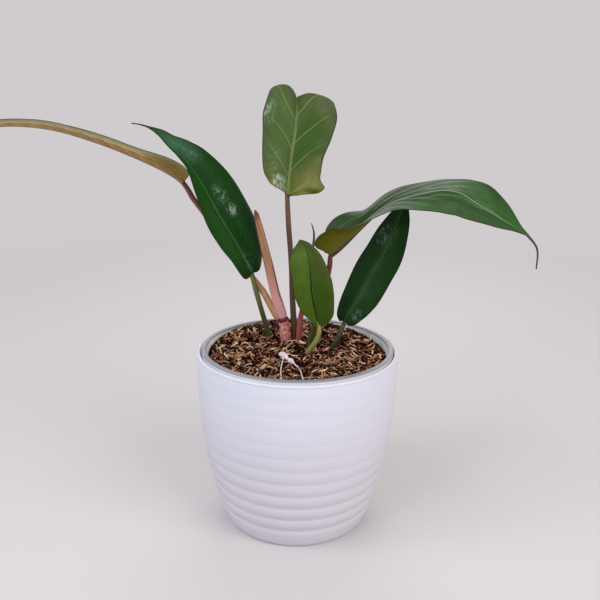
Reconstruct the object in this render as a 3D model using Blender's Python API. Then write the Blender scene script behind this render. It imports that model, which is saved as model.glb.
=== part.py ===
"""A young philodendron in a nursery pot that stands inside a ribbed white cover pot.

Lengths are written in millimetres and angles in degrees; a mesh becomes metres when it is finished.
The origin is the centre of the cover pot's flat base. +Z is up, +Y is the back and +X the right.
"""

import math

import bmesh
import bpy
from mathutils import Matrix, Vector, noise

MM = 0.001
GAP = 0.3
TURNED_STEPS = 44

# Cover pot: the wall's outer radius at a height, then the ribs that run round it.
POT_HEIGHT = 125.0
POT_BASE_R = 50.0
POT_BASE_ROUND = 1.2
POT_WALL = 2.8
POT_FLOOR = 4.0
POT_FILLET = 1.5
POT_INNER_HEIGHTS = (110, 90, 70, 50, 35, 22, 12)
POT_BODY = ((2, 51.8), (10, 54.9), (28, 60.1), (55, 65.2), (85, 68.8), (112, 69.9), (125, 70.0))
RIB_PITCH = 9.65
RIB_FIRST = 7.6
RIB_COUNT = 12
RIB_DEPTH_LOW = 0.95
RIB_DEPTH_HIGH = 0.45
RIB_POINTS = 3
RIM_POINTS = 5

# Nursery pot, which stands on the cover pot's floor.
LINER_BASE_R = 46.0
LINER_LIP_R = 66.6
LINER_LIP_TOP = 126.6
LINER_LIP_DROP = 5.5
LINER_WALL = 1.1
LINER_MOUTH_R = 64.2
LINER_EDGE = 0.7
LINER_FILLET = 1.5
LINER_HEIGHTS = (45, 85, 110)
DRAIN_HOLES = 6
DRAIN_SIDES = 12
DRAIN_CUT = 8.0
DRAIN_HOLE_R = 4.0
DRAIN_CIRCLE_R = 31.0

# Potting mix: heaped in the middle and banked up against the back left of the nursery pot.
MIX_EDGE = 117.0
MIX_HEAP = 6.0
MIX_BANK = 6.5
MIX_BANK_SIDE = Vector((-0.25, 0.97))
MIX_GRAIN = 0.35
MIX_GRAIN_SCALE = 0.2
MIX_RINGS = 9

# Blades: cells along and across the grid that becomes a leaf.
LEAF_THICKNESS = 0.8
LEAF_ROWS = 17
LEAF_COLUMNS = 8
LOBE_SPAN = 0.22

# Each leaf has the rib, rows of (x, y, z, left width, right width) from base to tip, and the lie,
# rows of (place along the rib, facing x, y, z, then the slope of the left half at the rib and at the
# margin, and the same for the right half). lobes are how far the base's corners run back past the stalk.
LEAVES = {
    "long_left_leaf": {
        "rib": (
            (-76.5, 22, 234, 4, 3), (-82, 22, 238.5, 12, 12), (-95, 22, 246, 15.5, 16),
            (-115, 21, 255, 17, 17.5), (-135, 20, 262.5, 17.5, 17.5), (-160, 19, 269.5, 16.5, 16.5),
            (-180, 18, 272.3, 15, 15), (-200, 17, 272, 12.5, 12.5), (-222, 15, 267.5, 8, 8),
            (-238, 14, 260.5, 3, 3), (-250, 13, 252.5, 0.5, 0.5)),
        "lie": (
            (0.0, 0.4, -0.1, 0.9, 52, 42, 28, 20), (0.2, 0.3, 0.0, 0.95, 25, 20, 20, 16),
            (0.6, 0.0, 0.0, 1.0, 18, 14, 18, 14), (1.0, -0.4, 0.0, 0.9, 8, 8, 8, 8)),
        "lobes": (1, 1),
    },
    "dark_left_leaf": {
        "rib": (
            (-32.4, 15, 174.3, 4, 4), (-36, 13.5, 182.3, 9, 18), (-39.6, 12, 190.3, 12.5, 22),
            (-45.8, 10, 201.8, 16.5, 22), (-53.6, 8, 216, 17.5, 21.5), (-62.7, 6, 234, 13.5, 19),
            (-72.4, 4, 250, 6, 14.5), (-84, 2.5, 263, 2.5, 7.5), (-96, 1, 273, 1.2, 2.2),
            (-107, 0, 275, 0.5, 0.5)),
        "lie": (
            (0.0, 0.3, -0.93, 0.15, 40, 30, 10, -70), (0.3, 0.3, -0.93, 0.2, 45, 40, 5, -50),
            (0.6, 0.3, -0.9, 0.3, 40, 40, 5, -25), (1.0, 0.3, -0.9, 0.3, 20, 10, 5, -5)),
        "lobes": (3, 3),
    },
    "tall_back_leaf": {
        "rib": (
            (-8, 25, 228.8, 4, 5), (-7.6, 25, 233, 12, 18.5), (-7, 25, 242, 17, 21.5),
            (-5, 26, 258, 19.5, 23), (-3, 28, 271, 21, 25), (-1.9, 31, 282, 23.5, 27.5),
            (-1.4, 38, 292.5, 28, 28.5), (-1, 50, 291, 23, 25), (0, 60, 277, 17, 17),
            (1, 66, 255, 9, 9), (2, 68, 238, 3, 3), (2, 68, 228, 0.5, 0.5)),
        "lie": (
            (0.0, 0.1, -1.0, 0.1, 10, 0, 15, -10), (0.25, 0.1, -1.0, 0.1, 12, -5, 15, 0),
            (0.42, 0.05, -0.75, 0.65, 70, -60, 34, -45), (0.65, 0.0, 0.6, 0.8, 20, -5, 18, -5),
            (1.0, 0.0, 1.0, 0.2, 10, 0, 10, 0)),
        "lobes": (0.5, 2),
    },
    "long_right_leaf": {
        "rib": (
            (21.5, 2, 191, 3, 8), (25.5, 1, 194.5, 9, 12.5), (30.6, 0, 199.7, 15, 14.5),
            (40.2, -2, 210.3, 17.5, 16), (50.4, -4.5, 221, 19, 16.5), (61.5, -6, 228.3, 20, 17.5),
            (76.7, -9, 233.2, 21, 20), (91.6, -12, 236.3, 23, 21), (103, -14, 235.2, 22.5, 20),
            (111.8, -15, 229.9, 22, 17.5), (123.5, -17, 223.1, 14.5, 14), (132, -18, 218, 10, 10),
            (141.5, -20, 212.9, 3.5, 4), (147, -20, 209.4, 1.4, 1.4), (153.8, -21, 201, 0.9, 0.9),
            (154.2, -22, 188, 0.4, 0.4)),
        "lie": (
            (0.0, -0.6, 0.1, 0.8, 70, 65, 80, 75), (0.1, -0.6, 0.0, 0.8, 60, 40, 35, 20),
            (0.14, -0.55, -0.05, 0.82, 45, 15, 20, 12), (0.2, -0.5, -0.1, 0.85, 25, -15, 14, 8),
            (0.36, -0.25, -0.3, 0.9, -2, -8, 8, 0), (0.55, 0.0, -0.45, 0.89, -10, -12, -8, -18),
            (0.72, 0.3, -0.45, 0.82, 25, 35, 0, -5), (0.82, 0.4, -0.4, 0.8, 25, 35, 5, 0),
            (1.0, 0.6, -0.3, 0.6, 10, 5, 10, 5)),
        "lobes": (5, 6),
    },
    "small_front_leaf": {
        "rib": (
            (14.3, -4, 143.4, 2.5, 3), (13, -5, 148, 6.5, 10), (11.7, -6, 153.6, 9.5, 13),
            (9.5, -8, 164.7, 11, 15), (8.5, -10, 176.3, 11.5, 14), (7.1, -11, 190, 12.5, 9),
            (4.5, -11, 198.5, 8, 4), (0.8, -10, 203, 0.5, 0.5)),
        "lie": (
            (0.0, 0.0, -1.0, 0.15, 12, 5, 12, 5), (0.5, 0.0, -1.0, 0.2, 14, 0, 14, 0),
            (1.0, 0.0, -0.9, 0.3, 8, 0, 8, 0)),
        "lobes": (1.5, 1.5),
    },
    "dark_right_leaf": {
        "rib": (
            (33.9, 6, 145.2, 6, 4.5), (36.5, 6.5, 150.5, 9.5, 9.5), (40.1, 7, 156.1, 11, 12),
            (44.9, 8, 163.5, 12.5, 13.5), (52.4, 10, 177.5, 14, 14), (59.2, 12, 189.5, 13.5, 14),
            (64.8, 14, 203, 11.5, 11), (69.3, 15.5, 215, 7.5, 7.5), (72.5, 17, 224, 2.8, 2.8),
            (73.5, 18, 229.5, 0.5, 0.5)),
        "lie": (
            (0.0, -0.1, -1.0, 0.1, 15, 10, 25, 15), (0.5, -0.1, -1.0, 0.15, 15, 5, 25, 5),
            (1.0, 0.0, -1.0, 0.2, 10, 0, 10, 0)),
        "lobes": (1.5, 4),
    },
}

# Stalks: rows of (x, y, z, radius) from the foot in the mix to the blade.
STALKS = {
    "long_left_stalk": (
        (-14.8, 22, 139.3, 1.5), (-16.4, 22, 142.4, 1.8), (-20.2, 22, 150.2, 2.0),
        (-25.3, 22, 159.9, 2.1), (-31.7, 22.5, 168.7, 1.9), (-41.4, 23, 180.7, 1.7),
        (-55.3, 24, 199.8, 1.6), (-67.5, 24, 217, 1.7), (-73.2, 23, 226.5, 1.8), (-76.1, 22, 233.2, 1.5)),
    "dark_left_stalk": (
        (-18.2, 27, 112, 1.7), (-21, 25, 123.4, 1.7), (-23.9, 22, 136.6, 1.7), (-27, 19, 150.3, 1.7),
        (-30.1, 17, 162, 1.7), (-32.4, 15.2, 173.2, 1.6)),
    "tall_back_stalk": (
        (-2.4, 27, 113, 1.6), (-2.7, 26.8, 125.5, 1.6), (-3.1, 26.6, 134.7, 1.5),
        (-4.2, 26.2, 154, 1.5), (-4.8, 25.8, 174.8, 1.5), (-5.9, 25.4, 192.3, 1.5),
        (-7, 25.2, 207, 1.5), (-8, 25, 228.3, 1.4)),
    "long_right_stalk": (
        (6.5, 12, 112, 1.9), (8.6, 11.3, 123.5, 1.8), (12.2, 10, 138.5, 1.7), (16.8, 7, 157.8, 1.6),
        (20.2, 4, 174.4, 1.6), (21.4, 2.4, 185, 1.7), (21.5, 2, 190.3, 1.6)),
    "small_front_stalk": (
        (1.5, -1.5, 112, 1.4), (7.3, -2, 122.2, 1.3), (12.2, -3, 130.3, 1.2), (14.6, -4, 136.8, 1.1),
        (14.3, -4, 142.6, 1.0)),
    "dark_right_stalk": (
        (18.5, 8, 113, 1.1), (25, 7, 123.3, 1.1), (28.9, 7, 130.8, 1.0), (31.2, 6.3, 136.7, 1.0),
        (33.6, 6, 144.4, 1.0)),
}

# Growing points: rows of (x, y, z, half width).
STEM = (
    (-7.8, 24, 110, 3.4), (-8.6, 23.6, 121, 3.7), (-9.0, 23.2, 127, 3.6), (-9.6, 22.6, 133, 3.2),
    (-10.1, 22.2, 136, 3.3), (-10.5, 22, 137.3, 3.8), (-10.6, 22, 138.2, 3.5))
NEW_LEAF = (
    (-10.4, 21.7, 139.3, 2.5), (-11.2, 20.8, 142.5, 3.3), (-13.2, 19, 148.5, 3.9),
    (-16.1, 15.8, 160, 3.4), (-19.6, 10.6, 178, 3.0), (-24.6, 4, 202, 2.1), (-27.2, 0.3, 214, 1.3),
    (-28.8, -2, 221, 0.4))
SIDE_SHEATH = (
    (0.4, 22, 112, 1.8), (0.9, 21.6, 122.8, 2.0), (1.4, 21.4, 132, 2.2), (2.3, 21.2, 142, 1.9),
    (4.8, 20.6, 153.7, 1.4), (7.7, 19, 172.7, 0.9), (10.2, 17, 193.8, 0.6), (10.7, 16, 203, 0.5),
    (8.9, 15, 210.4, 0.3))
NEW_LEAF_DEPTH = 0.75

# Air root lying on the mix: rows of (x, y, height above the mix, radius).
ROOT_MAIN = (
    (-14.5, 0.5, 0.9, 0.6), (-12.6, -1.0, 1.6, 1.5), (-10.6, -2.6, 1.7, 1.6), (-8.8, -6, 0.9, 0.8),
    (-5.2, -13.5, 1.0, 0.9), (-2, -22, 0.6, 0.5), (1.2, -32, 0.6, 0.5), (3, -46, 0.6, 0.5),
    (4, -58, 1.2, 0.5), (4.3, -61, 2.6, 0.5))
ROOT_BRANCH = (
    (-10.6, -2.6, 1.5, 0.9), (-11.6, -12, 0.6, 0.5), (-11.6, -26, 0.6, 0.5), (-10.8, -42, 0.6, 0.5),
    (-10, -57.5, 1.2, 0.5), (-9.8, -60.5, 2.6, 0.5))
ROOT_CLEAR = 0.5

# Bark chips on the mix: (x, y, length, width, turn).
CHIP_THICKNESS = 1.3
CHIP_TAPER = 0.45
CHIP_EDGE = 0.3
CHIPS = (
    (-26, 12, 9, 3.4, 35), (11, 2, 8, 3.6, -20), (21, 5.5, 8.5, 3, 60), (-38, -8, 9, 3.2, 10),
    (36, -14, 8, 3, -50), (-22, -30, 8.5, 2.8, 75), (22, -22, 9, 3, 20), (-44, 22, 8, 3, -35),
    (42, 22, 9, 3.2, 40), (4, 44, 8, 3, 5))


def remove_old_objects():
    """Empty the scene."""
    for old in list(bpy.data.objects):
        bpy.data.objects.remove(old, do_unlink=True)


def plastic(name, colour, roughness):
    """A plain surface of one colour."""
    material = bpy.data.materials.new(name)
    material.use_nodes = True
    shader = material.node_tree.nodes["Principled BSDF"]
    shader.inputs["Base Color"].default_value = (*colour, 1.0)
    shader.inputs["Roughness"].default_value = roughness
    shader.inputs["Metallic"].default_value = 0.0
    return material


def finished(name, bm, material, smooth=40.0):
    """Turn a bmesh in millimetres into an object in metres, with its faces pointing out."""
    bmesh.ops.recalc_face_normals(bm, faces=bm.faces)
    bm.transform(Matrix.Scale(MM, 4))
    mesh = bpy.data.meshes.new(name)
    bm.to_mesh(mesh)
    bm.free()
    mesh.shade_smooth()
    mesh.set_sharp_from_angle(angle=math.radians(smooth))
    mesh.materials.append(material)
    made = bpy.data.objects.new(name, mesh)
    bpy.context.scene.collection.objects.link(made)
    return made


def cut(solid, cutter, operation="DIFFERENCE"):
    """Take the cutter's shape out of a solid, or join it on."""
    boolean = solid.modifiers.new(cutter.name, "BOOLEAN")
    boolean.operation = operation
    boolean.object = cutter
    cutter.display_type = "WIRE"
    cutter.hide_render = True


class Smooth:
    """Rows of numbers joined by a smooth curve, which is read at a place from 0 to 1."""

    def __init__(self, places, rows):
        self.places = places
        self.rows = rows

    @classmethod
    def along(cls, rows):
        """The curve through rows that start with a point, with places in step with the distance."""
        walked = [0.0]
        for here, after in zip(rows, rows[1:]):
            walked.append(walked[-1] + math.dist(here[:3], after[:3]))
        return cls([part / walked[-1] for part in walked], rows)

    @classmethod
    def keyed(cls, rows):
        """The curve through rows whose first number is their place."""
        return cls([row[0] for row in rows], [row[1:] for row in rows])

    def slope(self, index):
        """How fast each number changes at a row."""
        low = max(index - 1, 0)
        high = min(index + 1, len(self.rows) - 1)
        span = self.places[high] - self.places[low]
        return [(b - a) / span for a, b in zip(self.rows[low], self.rows[high])]

    def at(self, place):
        """The row at a place."""
        index = 0
        while index < len(self.rows) - 2 and place > self.places[index + 1]:
            index += 1
        span = self.places[index + 1] - self.places[index]
        u = (place - self.places[index]) / span
        blends = (2 * u**3 - 3 * u**2 + 1, u**3 - 2 * u**2 + u, 3 * u**2 - 2 * u**3, u**3 - u**2)
        parts = (self.rows[index], self.slope(index), self.rows[index + 1], self.slope(index + 1))
        return [
            blends[0] * a + blends[1] * m * span + blends[2] * b + blends[3] * n * span
            for a, m, b, n in zip(*parts)
        ]

    def ahead(self, place):
        """The direction of the curve's points at a place."""
        before = Vector(self.at(max(place - 0.01, 0.0))[:3])
        after = Vector(self.at(min(place + 0.01, 1.0))[:3])
        return (after - before).normalized()


def turned(profile, steps=TURNED_STEPS):
    """A closed solid turned round Z from a profile of (radius, height) that starts and ends on it."""
    bm = bmesh.new()
    verts = [bm.verts.new((radius, 0.0, height)) for radius, height in profile]
    edges = [bm.edges.new(pair) for pair in zip(verts, verts[1:])]
    bmesh.ops.spin(
        bm, geom=verts + edges, axis=(0, 0, 1), cent=(0, 0, 0), angle=math.tau, steps=steps, use_merge=True
    )
    bmesh.ops.remove_doubles(bm, verts=bm.verts, dist=0.001)
    return bm


def pot_radius(height):
    """Outer radius of the cover pot's wall, without its ribs."""
    body = Smooth.keyed([((z - POT_BODY[0][0]) / (POT_HEIGHT - POT_BODY[0][0]), r) for z, r in POT_BODY])
    place = (height - POT_BODY[0][0]) / (POT_HEIGHT - POT_BODY[0][0])
    return body.at(max(place, 0.0))[0]


def rib_profile():
    """The ribbed outer wall: low rounded bands with a narrow groove between one and the next."""
    points = []
    for step in range(RIB_COUNT * RIB_POINTS + 1):
        height = RIB_FIRST + step * RIB_PITCH / RIB_POINTS
        share = (step % RIB_POINTS) / RIB_POINTS
        depth = RIB_DEPTH_LOW + (RIB_DEPTH_HIGH - RIB_DEPTH_LOW) * height / POT_HEIGHT
        points.append((pot_radius(height) - depth * (2 * share - 1) ** 2, height))
    return [point for point in points if point[1] < POT_HEIGHT - POT_WALL / 2]


def cover_pot(material):
    """The cover pot: a flat base, a ribbed wall and a round lip."""
    lip = POT_WALL / 2
    profile = [(0, 0), (POT_BASE_R - POT_BASE_ROUND, 0), (POT_BASE_R + POT_BASE_ROUND / 2, 0.5)]
    profile += [(pot_radius(2.0), 2.2)]
    profile += rib_profile()
    for step in range(RIM_POINTS):
        turn = math.pi * step / (RIM_POINTS - 1)
        centre = POT_BODY[-1][1] - lip
        profile.append((centre + lip * math.cos(turn), POT_HEIGHT - lip + lip * math.sin(turn)))
    for height in (*POT_INNER_HEIGHTS, POT_FLOOR + POT_FILLET):
        profile.append((pot_radius(height) - POT_WALL, height))
    profile += [(pot_radius(POT_FLOOR) - POT_WALL - POT_FILLET, POT_FLOOR), (0, POT_FLOOR)]
    return finished("cover_pot", turned(profile), material)


def liner_radius(height):
    """Inner radius of the nursery pot's straight wall."""
    foot = POT_FLOOR + GAP
    share = (height - foot) / (LINER_LIP_TOP - foot)
    return LINER_BASE_R - LINER_WALL + (LINER_MOUTH_R - LINER_BASE_R) * share


def nursery_pot(material):
    """The thin nursery pot, with a turned-down lip and drain holes in its floor."""
    foot = POT_FLOOR + GAP
    under = LINER_LIP_TOP - LINER_LIP_DROP
    floor = foot + LINER_WALL
    profile = [(0, foot), (LINER_BASE_R - LINER_FILLET, foot), (LINER_BASE_R, foot + LINER_FILLET)]
    profile += [(liner_radius(height) + LINER_WALL, height) for height in LINER_HEIGHTS]
    profile += [
        (liner_radius(under) + LINER_WALL, under + LINER_EDGE), (LINER_LIP_R - LINER_EDGE, under),
        (LINER_LIP_R, under + LINER_EDGE), (LINER_LIP_R, LINER_LIP_TOP - LINER_EDGE),
        (LINER_LIP_R - LINER_EDGE, LINER_LIP_TOP), (LINER_MOUTH_R - LINER_EDGE, LINER_LIP_TOP),
        (LINER_MOUTH_R - LINER_WALL, LINER_LIP_TOP - LINER_EDGE)]
    profile += [(liner_radius(height), height) for height in reversed(LINER_HEIGHTS)]
    profile += [(liner_radius(floor + LINER_FILLET), floor + LINER_FILLET)]
    profile += [(LINER_BASE_R - 2 * LINER_FILLET, floor), (0, floor)]
    pot = finished("nursery_pot", turned(profile), material)
    for index in range(DRAIN_HOLES):
        turn = math.tau * (index + 0.5) / DRAIN_HOLES
        hole = bmesh.new()
        bmesh.ops.create_cone(
            hole, cap_ends=True, segments=DRAIN_SIDES, radius1=DRAIN_HOLE_R, radius2=DRAIN_HOLE_R,
            depth=DRAIN_CUT,
            matrix=Matrix.Translation(
                (DRAIN_CIRCLE_R * math.cos(turn), DRAIN_CIRCLE_R * math.sin(turn), foot)),
        )
        cut(pot, finished(f"cutter_drain_{index}", hole, material))
    return pot


def mix_height(x, y):
    """Height of the potting mix's surface."""
    reach = Vector((x, y)) / liner_radius(MIX_EDGE)
    heap = MIX_HEAP * max(0.0, 1.0 - reach.length_squared)
    bank = MIX_BANK * max(0.0, reach.dot(MIX_BANK_SIDE)) ** 2
    return MIX_EDGE + heap + bank


def potting_mix(material, feet):
    """The mix that fills the nursery pot, with a socket for the foot of each stem."""
    bottom = POT_FLOOR + 2 * GAP + LINER_WALL
    shoulder = bottom + 2 * LINER_FILLET
    edge = liner_radius(MIX_EDGE) - GAP
    profile = [(0, bottom), (LINER_BASE_R - 3 * LINER_FILLET, bottom)]
    profile += [(liner_radius(height) - GAP, height) for height in (shoulder, MIX_EDGE / 2)]
    profile += [(edge * math.sqrt(1 - (ring / MIX_RINGS) ** 2), MIX_EDGE) for ring in range(MIX_RINGS)]
    profile += [(0, MIX_EDGE)]
    bm = turned(profile)
    for vert in bm.verts:
        if vert.co.z > MIX_EDGE - 1:
            flat = Vector((vert.co.x, vert.co.y))
            height = mix_height(flat.x, flat.y)
            if flat.length > edge - 0.1:
                flat *= (liner_radius(height) - GAP) / edge
            else:
                height += MIX_GRAIN * noise.noise(vert.co * MIX_GRAIN_SCALE)
            vert.co = (flat.x, flat.y, height)
    mix = finished("potting_mix", bm, material)
    for name, foot in feet.items():
        cut(mix, finished(f"cutter_{name}", foot, material))
    return mix


def tube(rows, sides, rings, grow=0.0, flat=1.0, end=1.0):
    """A closed round rod along rows of (x, y, z, radius), grown all over and in length."""
    path = Smooth.along(rows)
    bm = bmesh.new()
    bmesh.ops.create_grid(bm, x_segments=sides, y_segments=rings, size=0.5)
    for vert in bm.verts:
        turn = (vert.co.x + 0.5) * math.tau
        place = (vert.co.y + 0.5) * end
        x, y, z, radius = path.at(place)
        ahead = path.ahead(place)
        side = Vector((0, 1, 0)).cross(ahead).normalized()
        front = ahead.cross(side)
        round_off = side * math.cos(turn) + front * math.sin(turn) * flat
        vert.co = Vector((x, y, z)) + round_off * (radius + grow)
        if place < 0.001:
            vert.co -= ahead * grow
    bmesh.ops.remove_doubles(bm, verts=bm.verts, dist=0.001)
    bmesh.ops.holes_fill(bm, edges=[edge for edge in bm.edges if edge.is_boundary], sides=0)
    return bm


def socket(rows, sides, flat=1.0):
    """The shape of a stem's foot with the gap round it."""
    return tube(rows[:3], sides, 4, grow=GAP, flat=flat)


def blade_point(rib, lie, lobes, place, across):
    """A point of a blade: place runs from base to tip, across from -1 at the left margin to 1."""
    x, y, z, left, right = rib.at(place)
    facing_x, facing_y, facing_z, left_in, left_out, right_in, right_out = lie.at(place)
    ahead = rib.ahead(place)
    side = ahead.cross(Vector((facing_x, facing_y, facing_z))).normalized()
    facing = side.cross(ahead)
    width, inner, outer, lobe = left, left_in, left_out, lobes[0]
    if across > 0:
        width, inner, outer, lobe = right, right_in, right_out, lobes[1]
    reach = abs(across)
    inner = math.radians(inner)
    bend = math.radians(outer) - inner + 1e-4
    outwards = (math.sin(inner + bend * reach) - math.sin(inner)) / bend * width
    upwards = (math.cos(inner) - math.cos(inner + bend * reach)) / bend * width
    back = lobe * reach**2 * max(0.0, 1 - place / LOBE_SPAN) ** 2
    return Vector((x, y, z)) + side * math.copysign(outwards, across) + facing * upwards - ahead * back


def leaf(name, shape, material):
    """A leaf blade: a grid bent along its rib and given a thickness."""
    rib = Smooth.along(shape["rib"])
    lie = Smooth.keyed(shape["lie"])
    bm = bmesh.new()
    bmesh.ops.create_grid(bm, x_segments=LEAF_COLUMNS, y_segments=LEAF_ROWS, size=1.0)
    for vert in bm.verts:
        share = (vert.co.y + 1) / 2
        place = 0.5 * share + 0.25 * (1 - math.cos(math.pi * share))
        vert.co = blade_point(rib, lie, shape["lobes"], place, vert.co.x)
    blade = finished(name, bm, material)
    solidify = blade.modifiers.new("thickness", "SOLIDIFY")
    solidify.thickness = LEAF_THICKNESS * MM
    solidify.offset = 0.0
    return blade


def lying(rows):
    """Rows of (x, y, clearance, radius) as points on the potting mix."""
    return [(x, y, mix_height(x, y) + ROOT_CLEAR + up, radius) for x, y, up, radius in rows]


def surface_root(material):
    """A pale root that forks and lies over the mix to the nursery pot's lip."""
    root = finished("surface_root", tube(lying(ROOT_MAIN), 6, 26), material)
    cut(root, finished("cutter_root_branch", tube(lying(ROOT_BRANCH), 6, 16), material), "UNION")
    return root


def bark_chip(name, chip, material):
    """A wedge-shaped chip of bark lying on the mix."""
    x, y, length, width, turn = chip
    bm = bmesh.new()
    bmesh.ops.create_cube(bm, size=1.0)
    for vert in bm.verts:
        taper = 1.0 - CHIP_TAPER * (vert.co.x + 0.5)
        vert.co = (vert.co.x * length, vert.co.y * width * taper, vert.co.z * CHIP_THICKNESS)
    bmesh.ops.bevel(
        bm, geom=bm.edges[:], offset=CHIP_EDGE, segments=1, profile=0.5, affect="EDGES", material=-1
    )
    bm.transform(Matrix.Rotation(math.radians(turn), 4, "Z"))
    ground = max(mix_height(x + vert.co.x, y + vert.co.y) for vert in bm.verts)
    lift = ground + MIX_GRAIN + GAP + CHIP_THICKNESS / 2
    bm.transform(Matrix.Translation((x, y, lift)))
    return finished(name, bm, material)


def build():
    """Make every piece of the plant and its pots."""
    remove_old_objects()
    white = plastic("white_plastic", (0.78, 0.77, 0.84), 0.45)
    grey = plastic("grey_plastic", (0.42, 0.43, 0.44), 0.5)
    soil = plastic("potting_mix", (0.055, 0.03, 0.018), 0.95)
    bark = plastic("bark", (0.45, 0.28, 0.15), 0.85)
    green = plastic("leaf", (0.05, 0.13, 0.03), 0.35)
    red = plastic("red_stalk", (0.2, 0.04, 0.03), 0.45)
    pink = plastic("pink_sheath", (0.5, 0.14, 0.13), 0.45)
    pale = plastic("pale_root", (0.75, 0.72, 0.68), 0.6)

    cover_pot(white)
    nursery_pot(grey)
    feet = {name: socket(rows, 8) for name, rows in STALKS.items() if name != "long_left_stalk"}
    feet["main_stem"] = socket(STEM, 12)
    feet["side_sheath"] = socket(SIDE_SHEATH, 8)
    potting_mix(soil, feet)
    finished("main_stem", tube(STEM, 12, 12), red)
    finished("new_leaf", tube(NEW_LEAF, 10, 16, flat=NEW_LEAF_DEPTH), pink)
    finished("side_sheath", tube(SIDE_SHEATH, 8, 16), pink)
    for name, rows in STALKS.items():
        finished(name, tube(rows, 8, 14), red)
    for name, shape in LEAVES.items():
        leaf(name, shape, green)
    surface_root(pale)
    for index, chip in enumerate(CHIPS, start=1):
        bark_chip(f"bark_chip_{index}", chip, bark)


build()
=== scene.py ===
"""The looks of a young philodendron that stands in its nursery pot inside a ribbed white cover pot.

Shapes are written in millimetres and angles in degrees; a finished mesh is in metres.
The origin is the centre of the cover pot's base. +Z is up, +Y is the back and +X the right.
"""

import math
import random

import bmesh
import bpy
from bpy.props import FloatProperty, FloatVectorProperty, IntProperty, PointerProperty
from mathutils import Matrix, Vector, noise


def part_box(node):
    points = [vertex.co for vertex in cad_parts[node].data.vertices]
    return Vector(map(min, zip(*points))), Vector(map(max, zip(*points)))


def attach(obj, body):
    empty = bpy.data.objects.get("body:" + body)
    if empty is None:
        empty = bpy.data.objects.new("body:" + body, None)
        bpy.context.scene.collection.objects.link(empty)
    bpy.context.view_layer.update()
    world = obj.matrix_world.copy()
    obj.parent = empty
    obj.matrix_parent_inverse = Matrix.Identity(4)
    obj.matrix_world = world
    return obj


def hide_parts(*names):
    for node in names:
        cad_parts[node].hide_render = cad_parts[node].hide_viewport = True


bl_info = {
    "name": "Potted Philodendron",
    "version": (1, 0, 0),
    "blender": (4, 5, 0),
    "location": "View3D > Sidebar > Plant",
    "description": "Leaves, stalks, potting mix and pots of a young philodendron",
    "category": "Add Mesh",
}

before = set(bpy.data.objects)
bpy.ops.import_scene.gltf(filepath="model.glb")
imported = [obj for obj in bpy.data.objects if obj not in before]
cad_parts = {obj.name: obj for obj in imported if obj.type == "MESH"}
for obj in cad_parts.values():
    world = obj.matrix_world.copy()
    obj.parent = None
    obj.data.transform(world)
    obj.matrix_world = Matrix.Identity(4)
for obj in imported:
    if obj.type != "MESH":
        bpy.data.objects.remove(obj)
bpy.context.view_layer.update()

MM = 0.001
BODY = "root"
GAP = 0.3
MERGE = 0.001

# Cover pot: its size comes from the frame, its wall's bow from rows of (height, outer radius). The
# grooves between its ribs get shallower between the two heights of RIB_FADE.
POT_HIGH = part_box("cover_pot")[1]
POT_HEIGHT = POT_HIGH[2] / MM
POT_RIM_R = POT_HIGH[0] / MM
POT_BASE_R = 50.0
POT_BASE_ROUND = 1.2
POT_WALL = 2.8
POT_FLOOR = 4.0
POT_FILLET = 1.5
POT_BODY = (
    (2, 51.8), (10, 54.9), (28, 60.1), (55, 65.2), (85, 68.8), (112, 69.9), (POT_HEIGHT, POT_RIM_R))
POT_FOOT = (2.2, 3.6, 5.5, 7.8)
POT_INSIDE = (118, 110, 100, 90, 80, 70, 60, 50, 42, 35, 28, 22, 16, 11)
POT_STEPS = 180
RIB_FIRST = 5.3
RIB_PITCH = 9.77
RIB_DEPTH_LOW = 1.3
RIB_DEPTH_HIGH = 0.18
RIB_FADE = (12, 90)
RIB_POINTS = 10
RIM_POINTS = 9
# Heights, in metres, over which the painted shade at the cover pot's foot fades into its own colour.
POT_PAINTED_SHADE_SPAN = (0.03, 0.13)

# Nursery pot: its size comes from the frame too. OUTSIDE and INSIDE are heights on its wall. The
# spans, in metres, are the heights between which smears, soil and crumbs end and the lip starts.
LINER_LOW, LINER_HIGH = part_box("nursery_pot")
LINER_FOOT = LINER_LOW[2] / MM
LINER_TOP = LINER_HIGH[2] / MM
LINER_LIP_R = LINER_HIGH[0] / MM
LINER_BASE_R = 46.0
LINER_LIP_DROP = 5.5
LINER_LIP_ROUND = 0.5
LINER_LIP_DISH = 0.35
LINER_OUTSIDE = (20, 45, 70, 95, 110)
LINER_INSIDE = (124, 120, 115, 110, 95, 70, 45, 20)
LINER_WALL = 1.1
LINER_MOUTH_R = 64.2
LINER_FILLET = 1.5
LINER_STEPS = 160
DRAIN_HOLES = 6
DRAIN_SIDES = 32
DRAIN_R = 4.0
DRAIN_CIRCLE_R = 31.0
SMEAR_SPAN = (0.118, 0.1262)
SOILED_SPAN = (0.119, 0.125)
CRUMB_SPAN = (0.1255, 0.1262)
# The lip's painted groove shade starts within LIP_SPAN, with LIP_RINGS painted rings a metre of radius.
LIP_SPAN = (0.1252, 0.1258)
LIP_RINGS = 1250

# Potting mix: heaped in the middle and banked up at its back, with a low ridge along its front edge.
# The ridge starts at two shares of the radius: one towards its side and one outwards. MIX_GRAINS are
# rows of (fineness, layer of the noise, share of MIX_ROUGH).
MIX_EDGE = 120.5
MIX_HEAP = 0.6
MIX_BANK = 5.6
MIX_BANK_POWER = 1.3
MIX_BANK_SIDE = Vector((-0.2, 0.98))
MIX_SPILL = 5.2
MIX_SPILL_SIDE = Vector((0.3, -0.95))
MIX_SPILL_START = (0.6, 0.8)
MIX_WALL = (30, 60, 90, 110)
MIX_RINGS = 84
MIX_STEPS = 200
MIX_ROUGH = 1.1
MIX_GRAINS = ((0.11, 0.0, 0.7), (0.45, 9.0, 0.7), (1.1, 21.0, 0.5))

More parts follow.
